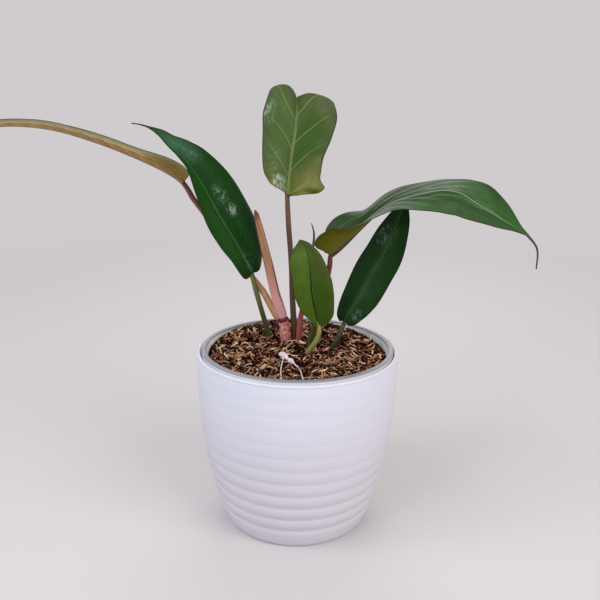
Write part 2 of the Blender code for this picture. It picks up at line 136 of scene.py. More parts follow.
# Blades: each leaf has the rib, rows of (x, y, z, left width, right width) from base to tip, and the
# lie, rows of (place along the rib, facing x, y, z, then the slope of the left half at the rib and at
# the margin, and the same for the right half). lobes are how far the base's corners run back, and
# flare is how far the base's right half stands up.
LEAF_CELL = 0.8
LEAF_COLUMNS = 56
ENDS_CROWDING = 0.75
RIB_CROWDING = 0.28
LOBE_SPAN = 0.22
LEAVES = {
    "long_left_leaf": {
        "rib": (
            (-78.9, 22, 237.6, 8.5, 5), (-84, 22, 241.8, 14, 12), (-95, 22, 248, 16, 16),
            (-115, 21, 256.8, 17, 17.5), (-135, 20, 264.2, 17.5, 17.5), (-160, 19, 271.3, 16.5, 16.5),
            (-180, 18, 274, 15, 15), (-200, 17, 273.7, 12.5, 12.5), (-222, 15, 269.2, 8, 8),
            (-238, 14, 261.5, 3, 3), (-250, 13, 252.5, 0.5, 0.5)),
        "lie": (
            (0.0, 0.4, -0.1, 0.9, 56, 46, 20, 12), (0.2, 0.3, 0.0, 0.95, 27, 21, 10, 6),
            (0.6, 0.0, 0.0, 1.0, 19, 14, 10, 6), (1.0, -0.4, 0.0, 0.9, 8, 8, 8, 8)),
        "lobes": (2.5, 1),
    },
    "dark_left_leaf": {
        "rib": (
            (-32.4, 15, 174.3, 8.5, 7.5), (-36, 13.5, 182.3, 11, 18.5), (-39.6, 12, 190.3, 13, 23.5),
            (-45.8, 10, 201.8, 16.5, 26.5), (-53.6, 8, 216, 17.5, 26), (-62.7, 6, 234, 12.5, 22.5),
            (-71.4, 4.3, 249.0, 5, 16.5), (-78.6, 3.5, 256.8, 2.5, 12.2), (-85.3, 2.6, 262.8, 1.2, 8.2),
            (-90.8, 1.5, 269.0, 0.7, 4.6), (-96.5, 0.8, 273.4, 0.5, 1.2), (-102.4, 0.3, 275.6, 0.4, 0.4),
            (-108, 0, 276.4, 0.25, 0.25)),
        "lie": (
            (0.0, 0.3, -0.93, 0.15, 40, 30, 10, -70), (0.3, 0.3, -0.93, 0.2, 45, 40, 5, -50),
            (0.6, 0.3, -0.9, 0.3, 40, 40, 5, -25), (1.0, 0.3, -0.9, 0.3, 20, 10, 5, -5)),
        "lobes": (2.5, 4.5),
    },
    "tall_back_leaf": {
        "rib": (
            (-8, 25, 228.8, 3, 10), (-7.8, 25, 231, 8, 20), (-7.6, 25, 233.6, 12, 25),
            (-7.4, 25, 236.6, 14.5, 26.5), (-7, 25, 240.5, 17.3, 22.2), (-6.4, 25.3, 246, 19, 21.6),
            (-5, 26, 258, 20.8, 22.3), (-3, 28, 271, 22.8, 25.8), (-2.1, 31, 283, 24.8, 29.4),
            (-2.2, 38, 293.2, 23.4, 28.2), (-2.2, 50, 291.8, 20.6, 24), (0, 60, 278, 17, 17),
            (1, 66, 255, 9, 9), (2, 68, 238, 3, 3), (2, 68, 228, 0.5, 0.5)),
        "lie": (
            (0.0, 0.1, -1.0, 0.1, 10, 0, 15, 10), (0.03, 0.1, -1.0, 0.1, 10, 0, 10, 38),
            (0.055, 0.1, -1.0, 0.1, 10, -2, 8, 38), (0.085, 0.1, -1.0, 0.1, 11, -5, 14, 0),
            (0.13, 0.1, -1.0, 0.1, 12, -5, 15, -2), (0.25, 0.1, -1.0, 0.1, 12, -5, 15, 0),
            (0.42, 0.05, -0.75, 0.65, 60, -44, 32, -45), (0.48, 0.04, -0.5, 0.8, 76, -46, 30, -40),
            (0.58, 0.03, 0.2, 0.9, 50, -20, 24, -30), (0.65, 0.0, 0.6, 0.8, 20, -5, 18, -5),
            (1.0, 0.0, 1.0, 0.2, 10, 0, 10, 0)),
        "lobes": (-2, -0.5),
        "flare": 5.0,
    },
    "long_right_leaf": {
        "rib": (
            (21.5, 2, 191, 4, 9), (25.5, 1, 194.5, 11, 15), (30.6, 0, 199.7, 17.5, 17.5),
            (40.2, -2, 210.3, 19.5, 17.5), (50.4, -4.5, 221, 19, 17), (61.5, -6, 228.6, 20, 17.5),
            (76.7, -9, 233.8, 21, 20), (91.6, -12, 237, 23, 21), (103, -14, 235.8, 22.5, 20),
            (111.8, -15, 230.5, 22, 17.5), (123.5, -17, 223.7, 14.5, 14), (132, -18, 218.4, 10, 10),
            (141.5, -20, 213, 3.5, 4), (147, -20, 209.4, 1.4, 1.4), (153.6, -21, 201, 0.9, 0.9),
            (154.2, -22, 188, 0.3, 0.3)),
        "lie": (
            (0.0, -0.6, 0.1, 0.8, 70, 65, 84, 80), (0.1, -0.6, 0.0, 0.8, 62, 50, 58, 46),
            (0.14, -0.55, -0.05, 0.82, 52, 28, 38, 26), (0.2, -0.5, -0.1, 0.85, 25, -12, 17, 10),
            (0.36, -0.25, -0.3, 0.9, -2, -8, 8, 0), (0.55, 0.0, -0.45, 0.89, -10, -12, -8, -18),
            (0.72, 0.3, -0.45, 0.82, 25, 35, 0, -5), (0.82, 0.4, -0.4, 0.8, 25, 35, 5, 0),
            (1.0, 0.6, -0.3, 0.6, 10, 5, 10, 5)),
        "lobes": (5, 7),
    },
    "small_front_leaf": {
        "rib": (
            (14.3, -4, 142.8, 2.2, 5), (13, -5, 147.6, 4.2, 11), (11.7, -6, 153.6, 8.3, 13.3),
            (9.5, -8, 164.7, 11.3, 15), (8.5, -10, 176.3, 12.3, 14), (7.1, -11, 190, 13.3, 9.4),
            (4.7, -11, 198, 10.4, 5), (2.4, -10.5, 201.6, 7.6, 2.2), (0.8, -10, 203.4, 0.6, 0.4)),
        "lie": (
            (0.0, 0.0, -1.0, 0.15, 12, 5, 12, 5), (0.5, 0.0, -1.0, 0.2, 14, 0, 14, 0),
            (1.0, 0.0, -0.9, 0.3, 8, 0, 8, 0)),
        "lobes": (1, 2),
    },
    "dark_right_leaf": {
        "rib": (
            (32.9, 6, 142.6, 4, 5), (34.4, 6, 146.2, 7.2, 8.4), (36.7, 6.5, 150.8, 9.2, 11),
            (40.1, 7, 156.1, 11.2, 12.8), (44.9, 8, 163.5, 12.8, 14), (52.4, 10, 177.5, 14, 14.2),
            (59.2, 12, 189.5, 13.5, 13.5), (64.8, 14, 203, 11.5, 11), (69.3, 15.5, 215, 7.5, 7.5),
            (72.5, 17, 224, 2.8, 2.8), (73.5, 18, 229.5, 0.4, 0.4)),
        "lie": (
            (0.0, -0.1, -1.0, 0.1, 15, 10, 25, 15), (0.5, -0.1, -1.0, 0.15, 15, 5, 25, 5),
            (1.0, 0.0, -1.0, 0.2, 10, 0, 10, 0)),
        "lobes": (2, 3),
    },
}

# Stalks: rows of (x, y, z, radius) from the foot in the mix to the blade. A stalk runs on into its
# leaf's keel, by rows of (way from the leaf's base, share of the keel's depth, share of the radius).
# Its last two rows and the first of these are set back behind the blade.
STALK_SIDES = 24
STALK_RING = 1.0
STALK_CHANNEL = 0.16
STALK_SWELL = 0.22
STALK_FOOT = 0.16
STALK_SETBACK = (0.6, 1.1)
STALK_SEAT = ((2.5, 0.0, 0.85), (6.0, 0.75, 0.35), (10.0, 0.75, 0.15))
STALKS = {
    "long_left_stalk": (
        (-11.8, 24, 137.2, 1.3), (-14.0, 22.8, 139.6, 2.1), (-16.4, 22, 143.4, 2.3),
        (-20.2, 22, 150.6, 2.5), (-25.3, 22, 159.9, 2.4), (-31.7, 22.5, 168.7, 2.0),
        (-41.4, 23, 180.7, 1.7), (-55.3, 24, 199.8, 1.6), (-67.5, 24, 217, 1.8),
        (-73.2, 23, 226.5, 1.9), (-76.1, 22, 233.2, 1.8)),
    "dark_left_stalk": (
        (-18.2, 27, 112, 1.9), (-20.6, 25, 123.4, 2.1), (-23.7, 22, 136.6, 1.9),
        (-27.1, 19, 150.3, 1.8), (-29.6, 17, 162, 1.9), (-31.8, 15.4, 173.2, 1.7)),
    "tall_back_stalk": (
        (-2.4, 27, 113, 2.3), (-2.3, 26.8, 125.5, 2.3), (-2.8, 26.6, 134.7, 2.3),
        (-4.0, 26.2, 154, 2.1), (-4.8, 25.8, 174.8, 1.9), (-5.9, 25.4, 192.3, 1.9),
        (-7, 25.2, 207, 1.9), (-8, 25, 228.3, 1.6)),
    "long_right_stalk": (
        (6.5, 12, 112, 2.1), (8.6, 11.3, 123.5, 2.2), (12.2, 10, 138.5, 2.0), (16.8, 7, 157.8, 1.8),
        (20.2, 4, 174.4, 1.8), (21.4, 2.4, 185, 1.8), (21.5, 2, 190.3, 1.6)),
    "small_front_stalk": (
        (1.5, -1.5, 112, 1.9), (7.5, -2, 122.4, 1.9), (12.6, -3, 130.3, 1.8), (15.0, -4, 137.2, 1.6),
        (14.6, -4, 142.0, 1.4)),
    "dark_right_stalk": (
        (18.5, 8, 113, 1.6), (25, 7, 123.3, 1.7), (28.9, 7, 130.8, 1.7), (31.0, 6.4, 136.4, 1.7),
        (32.6, 6.2, 141.2, 1.5)),
}

# Growing points: rows of (x, y, z, half width). ROLL_EDGE is the turn at which the new leaf's outer
# layer ends, and ROLL_LEAN how far that edge turns on its way up.
STEM = (
    (-7.6, 24, 110, 3.8), (-8.4, 23.6, 121, 4.1), (-8.9, 23.2, 127, 4.0), (-9.8, 22.6, 134, 3.6),
    (-10.5, 22.2, 138, 3.6), (-10.9, 22, 139.4, 3.9), (-11.1, 22, 140.4, 3.5))
NEW_LEAF = (
    (-11.2, 21.7, 140.3, 3.0), (-11.7, 21, 143.5, 3.7), (-13.2, 19, 149, 3.75),
    (-16.1, 15.8, 160, 3.4), (-19.6, 10.6, 178, 3.2), (-24.6, 4, 202, 2.6), (-27.0, 0.3, 214, 1.95),
    (-28.1, -1.4, 219, 1.5), (-28.8, -2.2, 221.5, 0.5))
SIDE_SHEATH = (
    (0.4, 22, 112, 1.9), (0.9, 21.6, 122.8, 2.1), (1.4, 21.4, 132, 2.2), (2.3, 21.2, 142, 1.9),
    (4.8, 20.6, 153.7, 1.4), (7.7, 19, 172.7, 0.9), (10.2, 17, 193.8, 0.8), (10.7, 16, 203, 0.65),
    (8.9, 15, 210.4, 0.3))
NEW_LEAF_DEPTH = 0.75
ROLL_EDGE = 0.86
ROLL_LEAN = 0.03
ROLL_STEP = 0.14
ROLL_RIPPLE = 0.03
SHEATH_CHANNEL = 0.25
STEM_WRINKLES = 0.05
STEM_FOLDS = 0.035
STEM_COLLAR = 0.07

# Air root lying on the mix: rows of (x, y, height above the mix, radius).
ROOT_MAIN = (
    (-12.4, -6.5, 0.5, 0.4), (-11.2, -9.0, 0.9, 1.7), (-9.6, -11.5, 1.2, 2.3),
    (-7.8, -14.5, 0.8, 1.8), (-6, -18, 0.4, 0.9), (-4.5, -21.2, 0.8, 1.8),
    (-3.0, -24.2, 0.5, 1.3), (-1, -28, 0.3, 0.6),
    (1.1, -32, 0.2, 0.45), (2.5, -39, 0.2, 0.4), (3.3, -46, 0.2, 0.4), (4, -54, 0.0, 0.35),
    (4.2, -59, -0.3, 0.3))
ROOT_BRANCH = (
    (-9.8, -11.5, 0.6, 0.9), (-9.7, -17.5, 0.3, 0.45), (-10.2, -26, 0.2, 0.42),
    (-10.5, -38, 0.2, 0.42), (-10, -50, 0.3, 0.4), (-9.7, -58, 0.2, 0.4), (-9.6, -62.2, 1.3, 0.4),
    (-9.5, -65, 0.9, 0.35))
ROOT_CLEAR = 1.2
ROOT_SIDES = 16
ROOT_KNOTS = 0.22

# Bark on the mix: how many shapes of small chips there are, how far they may roll, the power that
# makes most of them short, how much of one stays inside the wall, and how wide a space stays clear of
# them at the wall, round a foot and along the root. Then the large chips' (x, y, length, width, turn).
CHIP_SHAPES = 24
CHIP_ROLL = 0.9
CHIP_POWER = 1.6
CHIP_INSIDE = 0.35
CLEAR_WALL = 0.8
CLEAR_FOOT = 1.4
CLEAR_ROOT = 1.3
CLEAR_STEPS = 60
CHIPS = (
    (-26, 12, 9, 3.4, 35), (11, 2, 8, 3.6, -20), (21, 5.5, 8.5, 3, 60), (-38, -8, 9, 3.2, 10),
    (36, -14, 8, 3, -50), (-22, -30, 8.5, 2.8, 75), (22, -22, 9, 3, 20), (-44, 22, 8, 3, -35),
    (42, 22, 9, 3.2, 40), (4, 44, 8, 3, 5))
FLAKE = (-18.5, -17.3, 8.5, 3.0, 8)
CHIP_HEIGHT = 1.3
CHIP_LIFT = 1.2

# The stage, in metres: lamps as (name, place, size, power, colour) that look at one point, and the
# view that the plant is shown in.
LIT_POINT = (0.0, 0.0, 0.15)
LAMPS = (
    ("window", (0.75, -0.75, 0.95), 0.7, 6.0, (1.0, 0.955, 0.89)),
    ("right_pane", (1.0, -0.5, 0.42), 0.35, 2.0, (0.98, 0.97, 0.92)),
    ("left_pane", (-0.7, -0.9, 0.48), 0.25, 1.9, (0.82, 0.93, 1.0)),
    ("low_pane", (0.28, -1.15, 0.1), 0.2, 2.0, (0.85, 0.97, 1.0)),
    ("side_pane", (-1.0, -0.3, 0.85), 0.3, 1.5, (0.85, 0.97, 1.0)),
    ("sky", (-0.7, -0.45, 1.0), 0.8, 5.0, (0.93, 0.96, 1.0)),
    ("room", (0.1, 0.9, 0.8), 0.9, 4.0, (1.0, 0.98, 0.96)))
FLOOR_FADE = (0.35, 1.3)
EYE = Vector((0.0015, -0.461, 0.2885))
EYE_PITCH = 15.62
EYE_ROLL = 0.6
EYE_LENS = 41.8


def tint(red, green, blue):
    """A screen colour of 0 to 255 parts as the linear colour that a shader takes."""
    parts = [part / 255 for part in (red, green, blue)]
    return tuple(part / 12.92 if part <= 0.04045 else ((part + 0.055) / 1.055) ** 2.4 for part in parts)


def toned_down(colour, factor):
    """A colour made darker by one factor."""
    return tuple(part * factor for part in colour)


# ---- shading


def sums(operation, swapped=False):
    """A method for Wire that adds a Math node; a reflected form swaps its two values."""
    def method(wire, other=0.0):
        values = (other, wire) if swapped else (wire, other)
        return wire.add("ShaderNodeMath", {"operation": operation}, dict(enumerate(values)))
    return method


class Wire:
    """One socket of a material's nodes: sums on it add Math nodes, and add() adds any other node."""

    def __init__(self, tree, socket=None):
        self.tree = tree
        self.socket = socket

    def add(self, kind, settings=None, inputs=None, output=0):
        """A new node's output. The settings are set first, then each input is linked or valued."""
        node = self.tree.nodes.new(kind)
        for name, value in (settings or {}).items():
            setattr(node, name, value)
        for key, value in (inputs or {}).items():
            if isinstance(value, Wire):
                self.tree.links.new(value.socket, node.inputs[key])
            else:
                node.inputs[key].default_value = value
        return Wire(self.tree, node.outputs[output])

    __add__, __radd__ = sums("ADD"), sums("ADD", swapped=True)
    __sub__, __rsub__ = sums("SUBTRACT"), sums("SUBTRACT", swapped=True)
    __mul__, __rmul__ = sums("MULTIPLY"), sums("MULTIPLY", swapped=True)
    __truediv__, __rtruediv__ = sums("DIVIDE"), sums("DIVIDE", swapped=True)
    __pow__, __rpow__ = sums("POWER"), sums("POWER", swapped=True)
    __gt__, __abs__, fraction = sums("GREATER_THAN"), sums("ABSOLUTE"), sums("FRACT")

    def __neg__(self):
        return self * -1.0

    def clamped(self):
        return self.add("ShaderNodeClamp", None, {"Value": self})

    def step(self, low, high):
        """0 below low and 1 above high, with a smooth change between; high may be the lower one."""
        ends = {"Value": self, "From Min": low, "From Max": high}
        return self.add("ShaderNodeMapRange", {"interpolation_type": "SMOOTHSTEP"}, ends)

    def mix(self, first, second):
        """The first colour where this is 0 and the second where it is 1."""
        colours = [value if isinstance(value, Wire) else (*value, 1.0) for value in (first, second)]
        sockets = {0: self, 6: colours[0], 7: colours[1]}
        return self.add("ShaderNodeMix", {"data_type": "RGBA", "clamp_factor": True}, sockets, 2)

    def part(self, axis):
        """One of a vector's three numbers."""
        return self.add("ShaderNodeSeparateXYZ", None, {"Vector": self}, "XYZ".index(axis))

    def stretched(self, x, y, z):
        """A vector with each number scaled."""
        return self.add("ShaderNodeVectorMath", {"operation": "MULTIPLY"}, {0: self, 1: (x, y, z)})

    def noise(self, scale, detail=3.0, rough=0.5):
        """Smooth noise about 0.5 in this vector's space."""
        inputs = {"Vector": self, "Scale": scale, "Detail": detail, "Roughness": rough}
        return self.add("ShaderNodeTexNoise", None, inputs)

    def spots(self, scale):
        """The distance to the nearest of many scattered points in this vector's space."""
        return self.add("ShaderNodeTexVoronoi", None, {"Vector": self, "Scale": scale})

    def bump(self, height):
        """A normal with the relief of a height, in metres."""
        return self.add("ShaderNodeBump", None, {"Height": self, "Distance": height})


def layered(ground, *layers):
    """A ground colour with layers of (mask, colour) over it, the last one on top."""
    for mask, colour in layers:
        ground = mask.mix(ground, colour)
    return ground


class Surface:
    """A material with one Principled shader. Constants are set on its sockets, and wires linked."""

    def __init__(self, name, **constants):
        self.material = bpy.data.materials.new(name)
        self.material.use_nodes = True
        tree = self.material.node_tree
        self.shader = tree.nodes["Principled BSDF"]
        self.start = Wire(tree)
        self.paint(**constants)

    def paint(self, **values):
        """Set or link shader sockets, then give the material. An underscore stands for a space."""
        for name, value in values.items():
            socket = self.shader.inputs[name.replace("_", " ")]
            if isinstance(value, Wire):
                self.start.tree.links.new(value.socket, socket)
            else:
                socket.default_value = value
        return self.material

    def place(self):
        """The point's place in the object, in metres."""
        return self.start.add("ShaderNodeTexCoord", None, None, "Object")

    def unwrapped(self):
        """The point's place on the piece's own UV map."""
        return self.start.add("ShaderNodeTexCoord", None, None, "UV")

    def attribute(self, name):
        """A number kept with the mesh."""
        return self.start.add("ShaderNodeAttribute", {"attribute_name": name}, None, "Fac")


# ---- shapes


class Smooth:
    """Rows of numbers joined by a smooth curve, which is read at a place from 0 to 1."""

    def __init__(self, places, rows):
        self.places = places
        self.rows = rows

    @classmethod
    def along(cls, rows):
        """The curve through rows that start with a point, with places in step with the distance."""
        walked = [0.0]
        for here, after in zip(rows, rows[1:]):
            walked.append(walked[-1] + math.dist(here[:3], after[:3]))
        curve = cls([part / walked[-1] for part in walked], rows)
        curve.length = walked[-1]
        return curve

    @classmethod
    def keyed(cls, rows):
        """The curve through rows whose first number is their place."""
        return cls([row[0] for row in rows], [row[1:] for row in rows])

    def slope(self, index):
        """How fast each number changes at a row."""
        low = max(index - 1, 0)
        high = min(index + 1, len(self.rows) - 1)
        span = self.places[high] - self.places[low]
        return [(b - a) / span for a, b in zip(self.rows[low], self.rows[high])]

    def at(self, place):
        """The row at a place."""
        index = 0
        while index < len(self.rows) - 2 and place > self.places[index + 1]:
            index += 1
        span = self.places[index + 1] - self.places[index]
        u = (place - self.places[index]) / span
        blends = (2 * u**3 - 3 * u**2 + 1, u**3 - 2 * u**2 + u, 3 * u**2 - 2 * u**3, u**3 - u**2)
        parts = (self.rows[index], self.slope(index), self.rows[index + 1], self.slope(index + 1))
        return [
            blends[0] * a + blends[1] * m * span + blends[2] * b + blends[3] * n * span
            for a, m, b, n in zip(*parts)
        ]

    def ahead(self, place, step=0.01):
        """The direction of the curve's points at a place."""
        before = Vector(self.at(max(place - step, 0.0))[:3])
        after = Vector(self.at(min(place + step, 1.0))[:3])
        return (after - before).normalized()


def eased(value, low, high):
    """0 below low and 1 above high, with a smooth change between; high may be the lower one."""
    share = min(max((value - low) / (high - low), 0.0), 1.0)
    return share * share * (3 - 2 * share)


def mesh_of(name, bm):
    """A bmesh's mesh. The bmesh is given up."""
    mesh = bpy.data.meshes.new(name)
    bm.to_mesh(mesh)
    bm.free()
    return mesh


def take_in(bm, mesh):
    """Join a mesh to a bmesh. The mesh is given up."""
    bm.from_mesh(mesh)
    bpy.data.meshes.remove(mesh)


def placed(name, data):
    """A new object in the scene."""
    made = bpy.data.objects.new(name, data)
    bpy.context.scene.collection.objects.link(made)
    return made


def finished(name, bm, materials, nodes=(), smooth=40.0):
    """Turn a bmesh in millimetres into a piece in metres that rides on the part."""
    bm.transform(Matrix.Scale(MM, 4))
    mesh = mesh_of(name, bm)
    mesh.shade_smooth()
    mesh.set_sharp_from_angle(angle=math.radians(smooth))
    for material in materials:
        mesh.materials.append(material)
    piece = placed(name, mesh)
    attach(piece, BODY)
    if nodes:
        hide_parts(*nodes)
    return piece


def turned(profile, steps):
    """A closed solid turned round Z from a profile of (radius, height) that starts and ends on it."""
    bm = bmesh.new()
    verts = [bm.verts.new((radius, 0.0, height)) for radius, height in profile]
    edges = [bm.edges.new(pair) for pair in zip(verts, verts[1:])]
    bmesh.ops.spin(
        bm, geom=verts + edges, axis=(0, 0, 1), cent=(0, 0, 0), angle=math.tau, steps=steps,
        use_merge=True)
    bmesh.ops.remove_doubles(bm, verts=bm.verts, dist=MERGE)
    bmesh.ops.recalc_face_normals(bm, faces=bm.faces)
    return bm


def tube(rows, sides, rings, shape, flat=1.0):
    """A closed rod along rows of (x, y, z, radius).

    shape, given (turn, place), is a factor on its radius, and flat one on its depth from front to
    back. Its UV map holds the turn and the place along it.
    """
    path = Smooth.along(rows)
    bm = bmesh.new()
    bmesh.ops.create_grid(bm, x_segments=sides, y_segments=rings, size=0.5)
    unwrap = bm.loops.layers.uv.new("along")
    for face in bm.faces:
        for loop in face.loops:
            loop[unwrap].uv = (loop.vert.co.x + 0.5, loop.vert.co.y + 0.5)
    for vert in bm.verts:
        turn = (vert.co.x + 0.5) * math.tau
        place = vert.co.y + 0.5
        x, y, z, radius = path.at(place)
        radius *= shape(turn, place)
        ahead = path.ahead(place)
        side = Vector((0, 1, 0)).cross(ahead).normalized()
        front = ahead.cross(side)
        vert.co = Vector((x, y, z)) + (side * math.cos(turn) + front * math.sin(turn) * flat) * radius
    bmesh.ops.remove_doubles(bm, verts=bm.verts, dist=MERGE)
    bmesh.ops.holes_fill(bm, edges=[edge for edge in bm.edges if edge.is_boundary], sides=0)
    bmesh.ops.recalc_face_normals(bm, faces=bm.faces)
    return bm


# ---- pots


def pot_radius(height):
    """Outer radius of the cover pot's wall, without its ribs."""
    low = POT_BODY[0][0]
    body = Smooth.keyed([((z - low) / (POT_HEIGHT - low), r) for z, r in POT_BODY])
    return body.at(max((height - low) / (POT_HEIGHT - low), 0.0))[0]


def rib_profile(depth_scale):
    """The ribbed outer wall: rounded bands with a narrow groove between one and the next.

    The lowest band is plain up to its middle.
    """
    points = []
    step = RIB_POINTS // 2
    height = RIB_FIRST + RIB_PITCH / 2
    while height < POT_HEIGHT - POT_WALL / 2:
        share = (step % RIB_POINTS) / RIB_POINTS
        depth = RIB_DEPTH_LOW + (RIB_DEPTH_HIGH - RIB_DEPTH_LOW) * eased(height, *RIB_FADE)
        points.append((pot_radius(height) - depth_scale * depth * (2 * share - 1) ** 2, height))
        step += 1
        height = RIB_FIRST + step * RIB_PITCH / RIB_POINTS
    return points


def arc(centre, radius, first, last, points):
    """Points of a round corner between two angles."""
    x, y = centre
    angles = [math.radians(first + (last - first) * step / (points - 1)) for step in range(points)]
    return [(x + radius * math.cos(angle), y + radius * math.sin(angle)) for angle in angles]


def cover_pot_mesh(depth_scale):
    """The cover pot: a flat base, a ribbed wall and a round lip."""
    lip = POT_WALL / 2
    base = POT_BASE_R + POT_BASE_ROUND / 2
    profile = [(0, 0), (POT_BASE_R / 2, 0)]
    profile += arc((base - POT_BASE_ROUND, POT_BASE_ROUND), POT_BASE_ROUND, -90, -20, 6)
    profile += [(pot_radius(z), z) for z in POT_FOOT]
    profile += rib_profile(depth_scale)
    profile += arc((POT_RIM_R - lip, POT_HEIGHT - lip), lip, 0, 180, RIM_POINTS)
    profile += [(pot_radius(z) - POT_WALL, z) for z in POT_INSIDE]
    corner = pot_radius(POT_FLOOR) - POT_WALL - POT_FILLET
    profile += arc((corner, POT_FLOOR + POT_FILLET), POT_FILLET, 0, -90, 5)
    profile += [(POT_BASE_R / 2, POT_FLOOR), (0, POT_FLOOR)]
    return turned(profile, POT_STEPS)


def liner_radius(height):
    """Inner radius of the nursery pot's straight wall."""
    share = (height - LINER_FOOT) / (LINER_TOP - LINER_FOOT)
    return LINER_BASE_R - LINER_WALL + (LINER_MOUTH_R - LINER_BASE_R) * share


def nursery_pot_mesh():
    """The thin nursery pot, with a beaded, turned-down lip."""
    under = LINER_TOP - LINER_LIP_DROP
    floor = LINER_FOOT + LINER_WALL
    bead = LINER_LIP_ROUND
    dish = LINER_TOP - LINER_LIP_DISH
    profile = [(0, LINER_FOOT), (LINER_BASE_R - LINER_FILLET, LINER_FOOT)]
    profile += [(LINER_BASE_R, LINER_FOOT + LINER_FILLET)]
    profile += [(liner_radius(z) + LINER_WALL, z) for z in LINER_OUTSIDE]
    profile += [(liner_radius(under) + LINER_WALL, under + bead), (LINER_LIP_R - 0.9, under + 0.2)]
    profile += arc((LINER_LIP_R - bead, under + bead), bead, -90, 0, 4)
    profile += arc((LINER_LIP_R - bead, LINER_TOP - 0.6), bead, 0, 110, 5)
    profile += [(LINER_LIP_R - 1.2, dish), (LINER_MOUTH_R + 0.3, dish)]
    profile += arc((LINER_MOUTH_R - 0.4, LINER_TOP - bead), bead, 80, 180, 5)
    profile += [(liner_radius(z), z) for z in LINER_INSIDE]
    profile += [(liner_radius(floor + LINER_FILLET), floor + LINER_FILLET)]
    profile += [(LINER_BASE_R - 2 * LINER_FILLET, floor), (0, floor)]
    return turned(profile, LINER_STEPS)


def drain_hole(index, material):
    """A cutter for one of the holes in the nursery pot's floor."""
    turn = math.tau * (index + 0.5) / DRAIN_HOLES
    place = (DRAIN_CIRCLE_R * math.cos(turn), DRAIN_CIRCLE_R * math.sin(turn), LINER_FOOT)
    bm = bmesh.new()
    bmesh.ops.create_cone(
        bm, cap_ends=True, segments=DRAIN_SIDES, radius1=DRAIN_R, radius2=DRAIN_R, depth=DRAIN_R,
        matrix=Matrix.Translation(place))
    bm.transform(Matrix.Scale(MM, 4))
    mesh = mesh_of("drain_hole", bm)
    mesh.materials.append(material)
    return placed("drain_hole", mesh)


def cut_away(piece, cutter):
    """Take a cutter's shape out of a piece for good."""
    boolean = piece.modifiers.new("cut", "BOOLEAN")
    boolean.object = cutter
    with bpy.context.temp_override(object=piece, active_object=piece):
        bpy.ops.object.modifier_apply(modifier=boolean.name)
    bpy.data.objects.remove(cutter, do_unlink=True)


def white_plastic(colour):
    """Matt white moulding: faint cloudiness, grain, dust, and painted shade, darker and warmer at the
    foot.
    """
    surface = Surface("white_plastic", Specular_IOR_Level=0.4)
    place = surface.place()
    cloud = place.noise(18.0, 2.0)
    specks = 1 - place.spots(900.0).step(0.1, 0.2)
    dust = place.noise(240.0, 4.0, 0.7).step(0.55, 0.8) * 0.12
    shade = (cloud * 0.25 + dust + specks * 0.03).clamped()
    warm = tuple(part * factor for part, factor in zip(colour, (0.93, 0.91, 0.92)))
    # Painted shade: towards the foot the colour turns darker and warmer.
    low = tuple(part * factor for part, factor in zip(colour, (0.88, 0.82, 0.79)))
    return surface.paint(
        Base_Color=layered(low, (place.part("Z").step(*POT_PAINTED_SHADE_SPAN), colour), (shade, warm)),
        Roughness=0.46 + place.noise(300.0, 3.0) * 0.1,
        Normal=place.noise(1500.0, 2.0).bump(0.00003))


def grey_plastic(colour):
    """Thin milky grey plastic with smears of soil above the mix, and a darker lip with painted groove
    shade.
    """
    surface = Surface("grey_plastic", Coat_Weight=0.15)
    place = surface.place()
    height = place.part("Z")
    smear = place.noise(160.0, 5.0, 0.65) - 0.25 * height.step(*SMEAR_SPAN)
    streaks = place.stretched(1.0, 1.0, 0.15).noise(220.0, 3.0).step(0.35, 0.7)
    crumbs = place.noise(420.0, 2.0).step(0.72, 0.76) * (1 - height.step(*CRUMB_SPAN))
    soiled = smear.step(0.4, 0.62) * (1 - height.step(*SOILED_SPAN)) * 0.75
    # Painted shade: the lip is darker than the wall, in rings of darker and lighter grey that stand for
    # the shade in its grooves.
    rings = (place.part("X") ** 2 + place.part("Y") ** 2) ** 0.5 * LIP_RINGS
    lip_painted_groove_shade = abs(rings.fraction() - 0.5).step(0.1, 0.4).mix(tint(104, 102, 108), tint(146, 144, 150))
    return surface.paint(
        Base_Color=layered(
            colour, (streaks * 0.4, toned_down(colour, 0.85)), (height.step(*LIP_SPAN), lip_painted_groove_shade),
            (soiled, tint(96, 82, 74)), (crumbs, tint(52, 36, 28))),
        Roughness=0.3 + place.noise(200.0, 3.0) * 0.25,
        Normal=place.noise(700.0, 3.0).bump(0.00006))


# ---- potting mix


def mix_height(x, y):
    """Height of the potting mix's surface, without its grain."""
    reach = Vector((x, y)) / liner_radius(MIX_EDGE)
    heap = MIX_HEAP * max(0.0, 1.0 - reach.length_squared)
    bank = MIX_BANK * max(0.0, reach.dot(MIX_BANK_SIDE)) ** MIX_BANK_POWER
    sideways, outwards = MIX_SPILL_START
    front = eased(reach.dot(MIX_SPILL_SIDE), sideways, 1.0)
    spill = MIX_SPILL * front * eased(reach.length, outwards, 1.0)
    return MIX_EDGE + heap + bank + spill


def mix_grain(x, y):
    """How far the rough surface lies over or under the smooth one."""
    return MIX_ROUGH * sum(
        share * noise.noise(Vector((x, y, layer)) * fineness) for fineness, layer, share in MIX_GRAINS)


